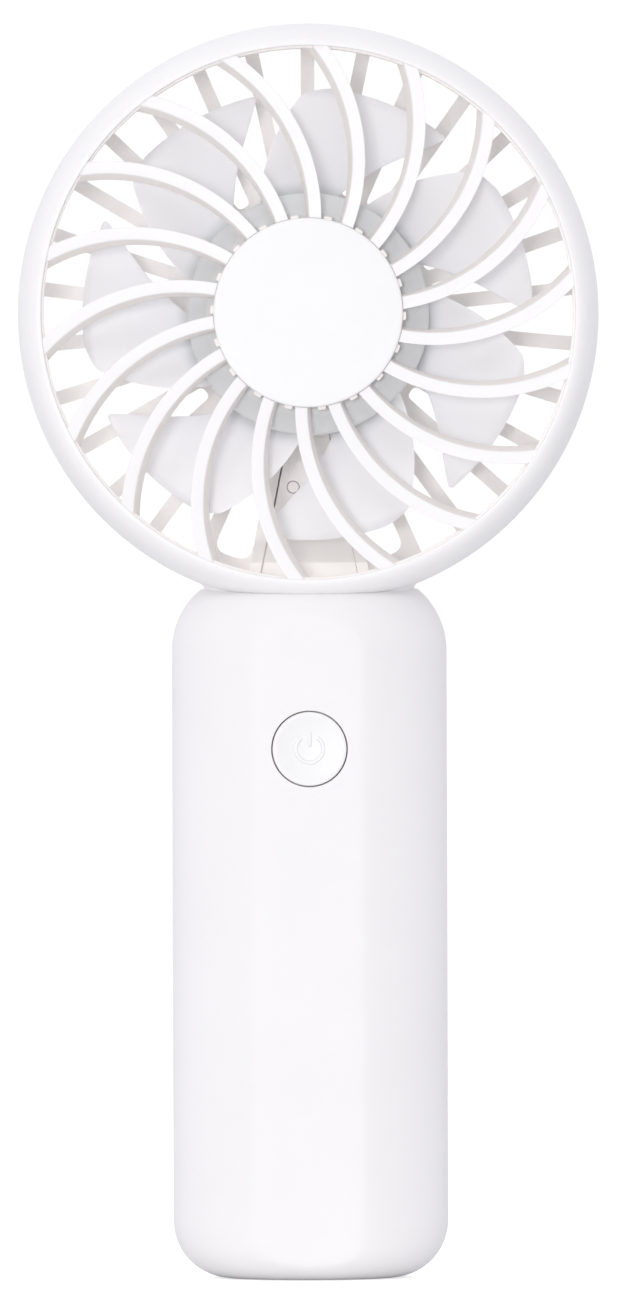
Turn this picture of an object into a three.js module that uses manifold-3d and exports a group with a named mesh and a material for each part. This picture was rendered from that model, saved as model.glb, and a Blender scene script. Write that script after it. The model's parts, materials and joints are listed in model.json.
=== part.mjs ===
// Handheld electric fan: a round fan head on a pocket-size battery handle.
// Millimetres. X is to the right, Y to the back, Z up. The front faces -Y.
// The origin is the centre of the flat base of the handle.

import * as THREE from 'three';
import { mergeVertices } from 'three/addons/utils/BufferGeometryUtils.js';
import Module from 'manifold-3d';

const wasm = await Module();
wasm.setup();

// ---- driving dimensions ------------------------------------------------

const GAP = 0.3;                    // clearance between neighbouring pieces

// fan head; its axis runs along Y
const HEAD_Z = 166;
const HEAD_R = 50;
const HEAD_FRONT_Y = -15;
const HEAD_BACK_Y = 17;
const HEAD_SPLIT_Y = -4;            // front grille meets rear grille here
const OPENING_R = 45.8;
const LEDGE_R = 45.35;              // narrow step inside the rim's opening
const LEDGE_Y = -14;
const RIM_ROUND_Y = -5;             // where the rim's rounding reaches full radius
const HEAD_STEPS = 60;

// front grille
const VANE_COUNT = 18;
const VANE_ROOT_ANGLE = 5.3;        // degrees, counter-clockwise from +X
const VANE_SWEEP = 22.9;            // degrees between root and tip
const VANE_ARC_R = 32.4;
const VANE_WIDTH = 2.1;
const VANE_FRONT_Y = -14.5;
const VANE_BACK_Y = -11.6;
const VANE_LEAN = 0.7;              // degrees of turn per millimetre of depth
const HUB_RING_R = 15.9;
const HUB_CAP_R = 16.25;
const TOOTH_ANGLE = 18;
const TOOTH_R = 16.8;
const TOOTH_WIDTH = 1.4;

// rear grille
const LIP_R = 47.6;                 // spigot that the front grille's rim snaps over
const LIP_DEPTH = 2;
const LIP_INNER_R = 45.8;
const SPOKE_COUNT = 30;
const SPOKE_WIDTH = 2.4;
const REAR_DISC_R = 22;
const SLOT_END_R = 47.6;
const SHORT_SLOT_END_R = 43.8;      // windows beside the arm
const SLOT_CORNER = 1.2;
const SHORT_SLOT_CORNER = 2.2;
const BESIDE_ARM = 20;              // degrees either side of straight down
const MOTOR_SEAT = { wall: 1.6, frontY: 4.5 };
const MOTOR_WIRE_SLOT = { halfW: 3, y0: 11.4, endDrop: 11 };
const SHELL_WALL = 2;
const BACK_ROUND_R = 16;            // rounding between side wall and back

// wire channel below the motor
const CHANNEL_TOP_R = 19.5;         // distances from the head's axis
const CHANNEL_RAMP_R = 38.6;
const CHANNEL_KNEE_R = 42.7;
const CHANNEL_END_R = 45.4;
const CHANNEL_HALF_TOP = 3.5;
const CHANNEL_HALF_END = 8.6;
const CHANNEL_WALL = 2;
const CHANNEL_FLOOR_R = 46.4;
const CHANNEL_LEDGE = 1.4;
const COVER_FRONT_Y = 10.6;
const COVER_THICK = 1.2;
const COVER_KNEE_FRONT_Y = 3.4;
const COVER_END_FRONT_Y = 2.6;
const PEG_X = -2.7;
const PEG_DROP = 29.6;
const PEG_R = 1;

// impeller
const BLADE_COUNT = 7;
const BLADE_TIP_ANGLE = 51.8;
const BLADE_TIP_R = 38.9;
const BLADE_TIP_SPAN = 38.3;        // degrees along the tip circle
const BLADE_LEAD_SWEEP = 24.5;      // degrees from tip to root along each edge
const BLADE_TRAIL_SWEEP = 23.2;
const BLADE_TIP_CORNER = 4;         // degrees cut off the tip's trailing corner
const BLADE_BOW = 1.1;
const BLADE_LEAD_Y = 2.6;
const BLADE_TRAIL_Y = -7.4;
const BLADE_THICK = 1.2;
const IMPELLER_HUB_R = 20.8;
const IMPELLER_FRONT_Y = -9;
const IMPELLER_BACK_Y = 3.2;
const IMPELLER_WALL = 1.5;
const IMPELLER_FACE_R = 17.6;
const IMPELLER_SHOULDER = { r: 19.6, drop: 1.1 };
const IMPELLER_BOSS = { r: 3.4, length: 6.6 };

// motor
const MOTOR_R = 12;
const MOTOR_FRONT_Y = 1;
const MOTOR_BACK_Y = 13.4;
const MOTOR_WALL = 0.9;
const SHAFT_R = 1;
const SHAFT_FRONT_Y = -6.8;
const BUSH_R = 2.6;
const BUSH_LENGTH = { front: 2.6, rear: 2.4 };
const MOTOR_NOSE = { r: 4.2, length: 1.4 };
const MAGNET = { innerR: 8.2, outerR: 10.8, y0: 3.2, y1: 11 };
const END_PLATE = { r: 10.8, y0: 11.6, y1: 13.4, noseR: 4, noseY: 14.4 };
const ARMATURE = { coreR: 3.4, coreY0: 3.6, coreY1: 10.8, poleY0: 4.2, poleY1: 10.2 };

// handle
const HANDLE_HALF_W = 23.7;
const HANDLE_HALF_D = 17;
const HANDLE_TOP_Z = 118.7;
const TOP_EDGE_Z = 117.6;           // front and back edges of the sloping top
const TOP_EDGE_HALF_D = 14;
const TOP_HALF_D = 11.3;
const HANDLE_POWER = 2.2;           // superellipse power of the section
const HANDLE_WALL = 1.8;
const BOSS_R = 2.7;
const SCREW_WELL_R = 2.1;
const BOARD_POSTS = { x: 7.5, z: [74.5, 101.5], half: 1 };
const CHARGE_POSTS = { x: 7, half: 1.2, y0: 4, y1: 8 };
const CELL_CRADLES = { z: [36, 78], halfW: 8.6, y0: 6, y1: 15.6, half: 0.9 };
const TOP_ROUND_W = 13.8;           // top rounding seen from the front
const TOP_ROUND_D = 18.4;           // top rounding seen from the side
const TOP_ROUND_Z = 108.1;          // where the rounding of the top begins
const BASE_ROUND_W = 9.8;           // base rounding seen from the front
const BASE_ROUND_D = 5.5;           // base rounding seen from the side
const LAND_Y = -16.06;              // flat land down the front of the handle
const SHELL_SPLIT_Y = 2;            // the flat base's centre stays on the front shell

// neck between head and handle, one half on each grille
const NECK_Y = -1.9;
const NECK_HALF_W = 18.1;
const NECK_HALF_D = 10.5;
const NECK_FLARE_Z = 118.2;         // where the neck starts to widen into the rim
const NECK_FLARE_R = 2.2;
const NECK_FLARE_TURN = 66;         // degrees
const NECK_INNER_R = 48.8;          // how far the neck reaches into the rim
const NECK_BOTTOM_Z = 107;
const NECK_FLANGE = 0.8;
const NECK_FLANGE_TOP_Z = 114.3;
const WIRE_PASSAGE = { halfW: 4.2, y0: 3.6, y1: 8.2 };

// button and switch
const BUTTON_Z = 91.2;
const BUTTON_R = 6.4;
const BUTTON_FACE_Y = -15.9;
const BUTTON_FLANGE_R = 7.8;
const BOARD_FRONT_Y = -8;
const BOARD_THICK = 1.2;
const BOARD_OUTLINE = { halfW: 9.5, z0: 72, z1: 104 };
const SWITCH_SIZE = 6;
const SWITCH_DEPTH = 3;
const PLUNGER_R = 1.7;

// power
const CELL_R = 9.1;
const CELL_LENGTH = 65;
const CELL_Y = 4.4;
const CELL_Z = 24;
const CHARGE_BOARD = { halfW: 9, y0: 1, y1: 13.4, thick: 1.2 };
const PORT_Z = 12.2;
const PORT_HALF_W = 4.5;
const PORT_HALF_H = 1.6;
const SHELL_SCREW_X = 14;
const SHELL_SCREW_Z = [19, 99.5];
const SCREW_R = 0.9;
const SCREW_SEAT_Y = 11.4;
const SCREW_TIP_Y = -7.5;
const SCREW_HEAD = { r: 1.8, height: 1.2, slotLength: 2, slotWidth: 0.44, slotDepth: 0.5 };
const WIRE_R = 0.55;

// ---- solids ------------------------------------------------------------

const DEG = Math.PI / 180;
const polar = (r, deg) => new THREE.Vector2(r * Math.cos(deg * DEG), r * Math.sin(deg * DEG));

// Turns a closed three.js geometry into a solid that can be joined and cut.
function solid(geometry) {
  const bare = geometry.clone();
  bare.deleteAttribute('normal');
  bare.deleteAttribute('uv');
  const merged = mergeVertices(bare, 1e-4);
  const p = merged.attributes.position.array;
  const tris = [];
  let volume = 0;
  for (let i = 0; i < merged.index.count; i += 3) {
    const [a, b, c] = [0, 1, 2].map((k) => merged.index.getX(i + k));
    if (a === b || b === c || c === a) continue;
    tris.push([a, b, c]);
    const [va, vb, vc] = [a, b, c].map((k) => new THREE.Vector3(p[3 * k], p[3 * k + 1], p[3 * k + 2]));
    volume += va.dot(vb.cross(vc));
  }
  const ordered = volume < 0 ? tris.map(([a, b, c]) => [a, c, b]) : tris;
  return new wasm.Manifold(new wasm.Mesh({
    numProp: 3,
    vertProperties: new Float32Array(p),
    triVerts: new Uint32Array(ordered.flat()),
  }));
}

const joined = (...solids) => solids.flat().reduce((sum, s) => sum.add(s));

// Turned piece about the head's axis, from [radius, y] points.
function turned(points, steps = HEAD_STEPS) {
  const profile = points.map(([r, y]) => new THREE.Vector2(r, y));
  profile.push(profile[0].clone());
  const g = new THREE.LatheGeometry(profile, steps);
  g.translate(0, 0, HEAD_Z);
  return solid(g);
}

// Solid of a front-view outline (x, z about zero height) between two depths.
function slab(outline, y0, y1, centreZ = 0) {
  const shape = outline instanceof THREE.Shape ? outline : new THREE.Shape(outline);
  const g = new THREE.ExtrudeGeometry(shape, { depth: y1 - y0, bevelEnabled: false, curveSegments: 6 });
  g.rotateX(Math.PI / 2);
  g.translate(0, y1, centreZ);
  return solid(g);
}

// Solid of a side-view outline ([y, z] points) between two values of x.
function sideSlab(points, x0, x1) {
  const shape = new THREE.Shape(points.map(([y, z]) => new THREE.Vector2(y, z)));
  const g = new THREE.ExtrudeGeometry(shape, { depth: x1 - x0, bevelEnabled: false });
  g.applyMatrix4(new THREE.Matrix4().set(0, 0, 1, 0, 1, 0, 0, 0, 0, 1, 0, 0, 0, 0, 0, 1));
  g.translate(x0, 0, 0);
  return solid(g);
}

function box(x0, x1, y0, y1, z0, z1) {
  const g = new THREE.BoxGeometry(x1 - x0, y1 - y0, z1 - z0);
  g.translate((x0 + x1) / 2, (y0 + y1) / 2, (z0 + z1) / 2);
  return solid(g);
}

// Round bar along Y.
function bar(r, y0, y1, x, z, steps = 20) {
  const g = new THREE.CylinderGeometry(r, r, y1 - y0, steps);
  g.translate(x, (y0 + y1) / 2, z);
  return solid(g);
}

// Round bar along Z.
function post(r, z0, z1, x, y, steps = 24) {
  const g = new THREE.CylinderGeometry(r, r, z1 - z0, steps);
  g.rotateX(Math.PI / 2);
  g.translate(x, y, (z0 + z1) / 2);
  return solid(g);
}

// Round wire along a smooth curve through the given points.
function wire(points) {
  const path = new THREE.CatmullRomCurve3(points.map((q) => new THREE.Vector3(...q)), false, 'centripetal');
  const steps = Math.round(path.getLength() / (7 * WIRE_R));
  const section = new THREE.Shape();
  section.absarc(0, 0, WIRE_R, 0, 2 * Math.PI, false);
  return solid(new THREE.ExtrudeGeometry(section, { steps, extrudePath: path, curveSegments: 4 }));
}

// Points around the soft oval that the handle and neck share.
function ringPoints(a, b, around) {
  const power = 2 / HANDLE_POWER;
  return Array.from({ length: around }, (_, k) => {
    const [c, s] = [Math.cos((2 * Math.PI * k) / around), Math.sin((2 * Math.PI * k) / around)];
    return [a * Math.sign(c) * Math.abs(c) ** power, b * Math.sign(s) * Math.abs(s) ** power];
  });
}

// Solid over soft ovals, one per [height, half-width, half-depth] level.
function loft(levels, around, centreY = 0) {
  const verts = [0, centreY, levels[0][0]];
  for (const [z, a, b] of levels) {
    ringPoints(a, b, around).forEach(([x, y]) => verts.push(x, y + centreY, z));
  }
  verts.push(0, centreY, levels[levels.length - 1][0]);
  const id = (level, k) => 1 + level * around + (k % around);
  const last = levels.length - 1;
  const crown = verts.length / 3 - 1;
  const index = [];
  for (let k = 0; k < around; k += 1) {
    index.push(0, id(0, k + 1), id(0, k), crown, id(last, k), id(last, k + 1));
    for (let n = 0; n < last; n += 1) {
      index.push(id(n, k), id(n, k + 1), id(n + 1, k + 1), id(n, k), id(n + 1, k + 1), id(n + 1, k));
    }
  }
  const g = new THREE.BufferGeometry();
  g.setAttribute('position', new THREE.Float32BufferAttribute(verts, 3));
  g.setIndex(index);
  return solid(g);
}

// Column of the neck's section, grown outwards, between two heights.
const neckColumn = (grow, z0, z1) => loft(
  [z0, z1].map((z) => [z, NECK_HALF_W + grow, NECK_HALF_D + grow]), 32, NECK_Y);

// The whole neck with its flange, flared where it runs into the rim.
function neckWhole() {
  const levels = [[NECK_BOTTOM_Z, NECK_HALF_W, NECK_HALF_D]];
  for (let i = 0; i <= 3; i += 1) {
    const t = (i / 3) * NECK_FLARE_TURN * DEG;
    const grow = NECK_FLARE_R * (1 - Math.cos(t));
    levels.push([NECK_FLARE_Z + NECK_FLARE_R * Math.sin(t), NECK_HALF_W + grow, NECK_HALF_D + grow]);
  }
  const [, a, b] = levels[levels.length - 1];
  levels.push([HEAD_Z - 40, a, b]);
  return joined(loft(levels, 32, NECK_Y), neckColumn(NECK_FLANGE, NECK_BOTTOM_Z, NECK_FLANGE_TOP_Z));
}

// ---- fan head ----------------------------------------------------------

function rimRound(offset) {
  const points = [];
  for (let i = 0; i <= 4; i += 1) {
    const t = (i / 4) * 90 * DEG;
    const r = OPENING_R + 0.5 + (HEAD_R - OPENING_R - 0.5 + offset) * Math.sin(t);
    points.push([r, RIM_ROUND_Y + (HEAD_FRONT_Y - RIM_ROUND_Y - offset) * Math.cos(t)]);
  }
  return points;
}

// Centreline arc of a vane: its centre and the angles of its two ends.
function vaneArc(startR, endR) {
  const a = polar(startR, VANE_ROOT_ANGLE);
  const b = polar(endR, VANE_ROOT_ANGLE + VANE_SWEEP);
  const mid = a.clone().add(b).multiplyScalar(0.5);
  const chord = b.clone().sub(a);
  const reach = Math.sqrt(VANE_ARC_R ** 2 - chord.lengthSq() / 4);
  const side = new THREE.Vector2(-chord.y, chord.x).normalize();
  const centre = mid.add(side.multiplyScalar(reach));
  const from = Math.atan2(a.y - centre.y, a.x - centre.x);
  const to = Math.atan2(b.y - centre.y, b.x - centre.x);
  return { centre, from, to };
}

function vane() {
  const { centre, from, to } = vaneArc(14, 46.6);
  const half = VANE_WIDTH / 2;
  const outline = [];
  const steps = 6;
  for (let i = 0; i <= steps; i += 1) {
    const t = from + ((to - from) * i) / steps;
    outline.push(new THREE.Vector2(Math.cos(t), Math.sin(t)).multiplyScalar(VANE_ARC_R + half).add(centre));
  }
  for (let i = steps; i >= 0; i -= 1) {
    const t = from + ((to - from) * i) / steps;
    outline.push(new THREE.Vector2(Math.cos(t), Math.sin(t)).multiplyScalar(VANE_ARC_R - half).add(centre));
  }
  const depth = VANE_BACK_Y - VANE_FRONT_Y;
  const g = new THREE.ExtrudeGeometry(new THREE.Shape(outline), { depth, bevelEnabled: false });
  g.rotateX(Math.PI / 2);
  g.translate(0, VANE_BACK_Y, 0);
  const p = g.attributes.position;
  for (let i = 0; i < p.count; i += 1) {
    const lean = VANE_LEAN * DEG * (p.getY(i) - VANE_FRONT_Y);
    const [x, z] = [p.getX(i), p.getZ(i)];
    p.setX(i, x * Math.cos(lean) - z * Math.sin(lean));
    p.setZ(i, x * Math.sin(lean) + z * Math.cos(lean));
  }
  return g;
}

const spunAboutHead = (g, deg) => {
  const copy = g.clone();
  copy.rotateY(-deg * DEG);
  copy.translate(0, 0, HEAD_Z);
  return solid(copy);
};

function frontGrille() {
  const seat = HEAD_SPLIT_Y - GAP / 2;
  const rim = turned([
    [OPENING_R, LEDGE_Y],
    [OPENING_R, HEAD_FRONT_Y + 0.4],
    ...rimRound(0),
    [HEAD_R, seat],
    [LIP_R + GAP, seat],
    [LIP_R + GAP, seat - LIP_DEPTH],
    [LEDGE_R + 0.25, seat - LIP_DEPTH],
    [LEDGE_R, LEDGE_Y],
  ], 48);
  const hub = turned([[0, VANE_FRONT_Y + 0.6], [HUB_RING_R, VANE_FRONT_Y + 0.6],
    [HUB_RING_R, VANE_BACK_Y], [0, VANE_BACK_Y]], 36);
  const capSocket = joined(
    bar(4 + GAP, VANE_FRONT_Y - 1, VANE_BACK_Y + 1, 0, HEAD_Z, 12),
    bar(HUB_CAP_R + GAP, HEAD_FRONT_Y, VANE_FRONT_Y + 0.6, 0, HEAD_Z, 32),
  );
  const vaneGeometry = vane();
  const toothGeometry = new THREE.BoxGeometry(2.4, 2, TOOTH_WIDTH);
  toothGeometry.translate(TOOTH_R - 1.2, VANE_BACK_Y - 1, 0);
  const pieces = [];
  for (let i = 0; i < VANE_COUNT; i += 1) {
    const turn = (360 / VANE_COUNT) * i;
    pieces.push(spunAboutHead(vaneGeometry, turn));
    pieces.push(spunAboutHead(toothGeometry, TOOTH_ANGLE + turn));
  }
  const insideOfRim = turned([[0, -20], [OPENING_R + 0.7, -20], [OPENING_R + 0.7, 0], [0, 0]], 48);
  const belowRim = turned([[NECK_INNER_R, -20], [90, -20], [90, seat], [NECK_INNER_R, seat]], 48);
  const neck = neckWhole().intersect(belowRim);
  return joined(rim, joined(hub, pieces).intersect(insideOfRim), neck).subtract(capSocket);
}

function hubCap() {
  const back = VANE_FRONT_Y + 0.6 - GAP;
  return turned([
    [0, HEAD_FRONT_Y], [HUB_CAP_R - 0.5, HEAD_FRONT_Y], [HUB_CAP_R, HEAD_FRONT_Y + 0.4],
    [HUB_CAP_R, back], [4, back], [4, VANE_BACK_Y], [0, VANE_BACK_Y],
  ], 32);
}

const channelHalf = (drop) => {
  const t = (drop - CHANNEL_TOP_R) / (CHANNEL_END_R - CHANNEL_TOP_R);
  return CHANNEL_HALF_TOP + t * (CHANNEL_HALF_END - CHANNEL_HALF_TOP);
};

// Outline of the tapered channel below the head's axis, grown sideways.
function channelOutline(topR, endR, grow) {
  return [
    new THREE.Vector2(-channelHalf(topR) - grow, -topR),
    new THREE.Vector2(-channelHalf(endR) - grow, -endR),
    new THREE.Vector2(channelHalf(endR) + grow, -endR),
    new THREE.Vector2(channelHalf(topR) + grow, -topR),
  ];
}

// Profile of the rear grille's cup, outside or inside.
function cupProfile(wall) {
  const round = BACK_ROUND_R - wall;
  const centreR = HEAD_R - BACK_ROUND_R;
  const centreY = HEAD_BACK_Y - BACK_ROUND_R;
  const points = [];
  for (let i = 0; i <= 4; i += 1) {
    const t = (i / 4) * 90 * DEG;
    points.push([centreR + round * Math.cos(t), centreY + round * Math.sin(t)]);
  }
  return points;
}

function slotOutline(index) {
  const pitch = 360 / SPOKE_COUNT;
  const middle = 90 + pitch * (index + 0.5);
  const besideArm = Math.abs(middle - 270) < BESIDE_ARM;
  const [end, corner] = besideArm ? [SHORT_SLOT_END_R, SHORT_SLOT_CORNER] : [SLOT_END_R, SLOT_CORNER];
  const halfAt = (r) => (pitch / 2) - Math.asin(SPOKE_WIDTH / 2 / r) / DEG;
  const cornerAngle = corner / end / DEG;
  const start = REAR_DISC_R;
  return [
    polar(start + 1.1, middle - halfAt(start + 1.1)),
    polar(end - corner, middle - halfAt(end - corner)),
    polar(end, middle - halfAt(end) + cornerAngle),
    polar(end, middle + halfAt(end) - cornerAngle),
    polar(end - corner, middle + halfAt(end - corner)),
    polar(start + 1.1, middle + halfAt(start + 1.1)),
    polar(start, middle + halfAt(start) * 0.4),
    polar(start, middle - halfAt(start) * 0.4),
  ];
}

// Side view of the ramp that the channel and its cover follow towards the rim, shifted in depth.
const rampPoints = (shift) => [
  [COVER_FRONT_Y + shift, HEAD_Z],
  [COVER_FRONT_Y + shift, HEAD_Z - CHANNEL_RAMP_R],
  [COVER_KNEE_FRONT_Y + shift, HEAD_Z - CHANNEL_KNEE_R],
  [COVER_END_FRONT_Y + shift, HEAD_Z - CHANNEL_END_R],
  [COVER_END_FRONT_Y + shift, HEAD_Z - HEAD_R],
];

function rearGrille() {
  const seat = HEAD_SPLIT_Y + GAP / 2;
  const innerBack = HEAD_BACK_Y - SHELL_WALL;
  let cup = turned([
    [0, HEAD_BACK_Y], [0, innerBack],
    ...cupProfile(SHELL_WALL).reverse(),
    [LIP_INNER_R, seat + 1.6], [LIP_INNER_R, seat - LIP_DEPTH], [LIP_R, seat - LIP_DEPTH],
    [LIP_R, seat], [HEAD_R, seat],
    ...cupProfile(0),
  ]);
  const slots = [];
  for (let i = 0; i < SPOKE_COUNT; i += 1) {
    slots.push(slab(slotOutline(i), 0, HEAD_BACK_Y + 1, HEAD_Z));
  }
  cup = cup.subtract(joined(slots));

  // tapered arm that carries the channel from the motor seat to the rim
  const cupSpace = turned([[0, HEAD_BACK_Y], [0, -3], [HEAD_R - 1, -3], ...cupProfile(0)]);
  const arm = slab(channelOutline(14, 49, CHANNEL_WALL), -2, HEAD_BACK_Y, HEAD_Z).intersect(cupSpace);
  const armFront = sideSlab([
    ...rampPoints(0), [HEAD_BACK_Y + 1, HEAD_Z - HEAD_R], [HEAD_BACK_Y + 1, HEAD_Z],
  ], -20, 20);
  const slopedBack = (back) => [
    [9, HEAD_Z - HEAD_R], [9, HEAD_Z - CHANNEL_FLOOR_R],
    [back, HEAD_Z - CHANNEL_RAMP_R + 2], [back, HEAD_Z],
  ];
  const channelDepth = sideSlab([...rampPoints(-1), ...slopedBack(innerBack)], -20, 20);
  const channel = slab(channelOutline(CHANNEL_TOP_R - GAP, CHANNEL_FLOOR_R, 0), -5, HEAD_BACK_Y, HEAD_Z)
    .intersect(channelDepth);
  const ledgeDepth = sideSlab([...rampPoints(COVER_THICK + GAP), ...slopedBack(innerBack + 1)], -20, 20);
  const outerLedge = slab(channelOutline(CHANNEL_TOP_R, CHANNEL_END_R, 0), -5, HEAD_BACK_Y, HEAD_Z);
  const innerLedge = slab(channelOutline(12, CHANNEL_FLOOR_R, -CHANNEL_LEDGE), -6, HEAD_BACK_Y + 1, HEAD_Z);
  const ledges = outerLedge.subtract(innerLedge).intersect(ledgeDepth);
  const peg = bar(PEG_R, COVER_FRONT_Y - 0.2, innerBack + 0.5, PEG_X, HEAD_Z - PEG_DROP, 12);

  // cup that grips the motor, slotted below for the wires
  const seatR = MOTOR_R + GAP;
  const seatOuterR = seatR + MOTOR_SEAT.wall;
  const seatTube = turned([[seatR, MOTOR_SEAT.frontY], [seatOuterR, MOTOR_SEAT.frontY],
    [seatOuterR, innerBack + 0.5], [seatR, innerBack + 0.5]], 30);
  const slot = MOTOR_WIRE_SLOT;
  const wireSlot = box(-slot.halfW, slot.halfW, slot.y0, innerBack,
    HEAD_Z - CHANNEL_TOP_R - 1, HEAD_Z - slot.endDrop);
  const motorSpace = bar(seatR, -10, innerBack, 0, HEAD_Z, 30);

  // rear half of the neck, hollow for the wires; the handle's top wall captures its flange
  const outsideOfCup = turned([[80, seat], [HEAD_R - 1, seat], ...cupProfile(1), [34, 40], [80, 40]]);
  const neck = neckWhole().intersect(outsideOfCup);
  const { halfW, y0, y1 } = WIRE_PASSAGE;
  const passage = box(-halfW, halfW, y0, y1, NECK_BOTTOM_Z - 1, HEAD_Z - CHANNEL_END_R + 1);

  const body = joined(cup, arm.intersect(armFront)).subtract(channel);
  return joined(body, ledges, seatTube, neck, peg)
    .subtract(joined(wireSlot, motorSpace, passage));
}

function channelCover() {
  const plate = sideSlab([...rampPoints(0), ...rampPoints(COVER_THICK).reverse()], -20, 20);
  const outline = slab(channelOutline(CHANNEL_TOP_R, CHANNEL_FLOOR_R - GAP, -GAP), -5, HEAD_BACK_Y, HEAD_Z);
  const pegHole = bar(PEG_R + GAP, -5, HEAD_BACK_Y, PEG_X, HEAD_Z - PEG_DROP, 12);
  return outline.intersect(plate).subtract(pegHole);
}

// One blade: a pitched, swept plate between the hub and the tip circle.
function bladeGeometry() {
  const across = 5;
  const along = 5;
  const rootR = IMPELLER_HUB_R - 0.8;
  const point = (i, j, side) => {
    const r = rootR + ((BLADE_TIP_R - rootR) * i) / along;
    const inward = (BLADE_TIP_R - r) / (BLADE_TIP_R - IMPELLER_HUB_R);
    const lead = BLADE_LEAD_SWEEP * Math.max(inward, 0) ** 1.35;
    const cornerCut = i === along ? BLADE_TIP_CORNER : 0;
    const trail = BLADE_TIP_SPAN + BLADE_TRAIL_SWEEP * inward - cornerCut;
    const v = j / across;
    const angle = BLADE_TIP_ANGLE + lead + (trail - lead) * v;
    const bow = BLADE_BOW * Math.sin(Math.PI * v);
    const y = BLADE_LEAD_Y + (BLADE_TRAIL_Y - BLADE_LEAD_Y) * v + bow + (side * BLADE_THICK) / 2;
    return [r * Math.cos(angle * DEG), y, r * Math.sin(angle * DEG)];
  };
  const verts = [];
  const index = [];
  const id = (i, j, s) => (i * (across + 1) + j) * 2 + s;
  for (let i = 0; i <= along; i += 1) {
    for (let j = 0; j <= across; j += 1) {
      verts.push(...point(i, j, -1), ...point(i, j, 1));
    }
  }
  const quad = (a, b, c, d) => index.push(a, b, c, a, c, d);
  for (let i = 0; i < along; i += 1) {
    for (let j = 0; j < across; j += 1) {
      quad(id(i, j, 0), id(i + 1, j, 0), id(i + 1, j + 1, 0), id(i, j + 1, 0));
      quad(id(i, j, 1), id(i, j + 1, 1), id(i + 1, j + 1, 1), id(i + 1, j, 1));
    }
  }
  for (let j = 0; j < across; j += 1) {
    quad(id(0, j, 0), id(0, j + 1, 0), id(0, j + 1, 1), id(0, j, 1));
    quad(id(along, j, 0), id(along, j, 1), id(along, j + 1, 1), id(along, j + 1, 0));
  }
  for (let i = 0; i < along; i += 1) {
    quad(id(i, 0, 0), id(i, 0, 1), id(i + 1, 0, 1), id(i + 1, 0, 0));
    quad(id(i, across, 0), id(i + 1, across, 0), id(i + 1, across, 1), id(i, across, 1));
  }
  const g = new THREE.BufferGeometry();
  g.setAttribute('position', new THREE.Float32BufferAttribute(verts, 3));
  g.setIndex(index);
  return g;
}

function impeller() {
  const r = IMPELLER_HUB_R;
  const front = IMPELLER_FRONT_Y;
  const hub = turned([
    [SHAFT_R + GAP, front], [IMPELLER_FACE_R, front],
    [IMPELLER_SHOULDER.r, front + IMPELLER_SHOULDER.drop], [r, front + 1.6], [r, IMPELLER_BACK_Y],
    [r - IMPELLER_WALL, IMPELLER_BACK_Y], [r - IMPELLER_WALL, front + 2.8],
    [IMPELLER_BOSS.r, front + 2.2], [IMPELLER_BOSS.r, front + IMPELLER_BOSS.length],
    [SHAFT_R + GAP, front + IMPELLER_BOSS.length],
  ], 35);
  const blade = bladeGeometry();
  const blades = [];
  for (let k = 0; k < BLADE_COUNT; k += 1) {
    blades.push(spunAboutHead(blade, (360 / BLADE_COUNT) * k));
  }
  return joined(hub, blades);
}

// ---- motor -------------------------------------------------------------

function motorCan() {
  const [r, w, front] = [MOTOR_R, MOTOR_WALL, MOTOR_FRONT_Y];
  return turned([
    [BUSH_R + GAP, front - MOTOR_NOSE.length], [MOTOR_NOSE.r, front - MOTOR_NOSE.length],
    [MOTOR_NOSE.r, front], [r - 0.6, front], [r, front + 0.6],
    [r, MOTOR_BACK_Y], [r - w, MOTOR_BACK_Y], [r - w, front + w], [BUSH_R + GAP, front + w],
  ], 28);
}

function motorMagnet() {
  const { innerR, outerR, y0, y1 } = MAGNET;
  return turned([[innerR, y0], [outerR, y0], [outerR, y1], [innerR, y1]], 24);
}

function bush(y0, y1) {
  return turned([[SHAFT_R + GAP, y0], [BUSH_R, y0], [BUSH_R, y1], [SHAFT_R + GAP, y1]], 14);
}

function motorEndPlate() {
  const { r, y0, y1, noseR, noseY } = END_PLATE;
  return turned([[BUSH_R + GAP, y0], [r, y0], [r, y1], [noseR, y1], [noseR, noseY],
    [BUSH_R + GAP, noseY]], 24);
}

// Three-pole armature core.
function motorArmature() {
  const { coreR, coreY0, coreY1, poleY0, poleY1 } = ARMATURE;
  const core = turned([[SHAFT_R + GAP, coreY0], [coreR, coreY0], [coreR, coreY1],
    [SHAFT_R + GAP, coreY1]], 14);
  const bore = bar(SHAFT_R + GAP, 0, 20, 0, HEAD_Z, 14);
  const poles = [0, 120, 240].map((deg) => {
    const pole = new THREE.Shape([
      new THREE.Vector2(-1.3, 2.4), new THREE.Vector2(1.3, 2.4), new THREE.Vector2(1.3, 5.9),
      new THREE.Vector2(4.3, 5.9), new THREE.Vector2(3.1, 7.1), new THREE.Vector2(0, 7.7),
      new THREE.Vector2(-3.1, 7.1), new THREE.Vector2(-4.3, 5.9), new THREE.Vector2(-1.3, 5.9),
    ]);
    const g = new THREE.ExtrudeGeometry(pole, { depth: poleY1 - poleY0, bevelEnabled: false });
    g.rotateX(Math.PI / 2);
    g.translate(0, poleY1, 0);
    return spunAboutHead(g, deg);
  });
  return joined(core, poles).subtract(bore);
}

// ---- handle ------------------------------------------------------------

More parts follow.
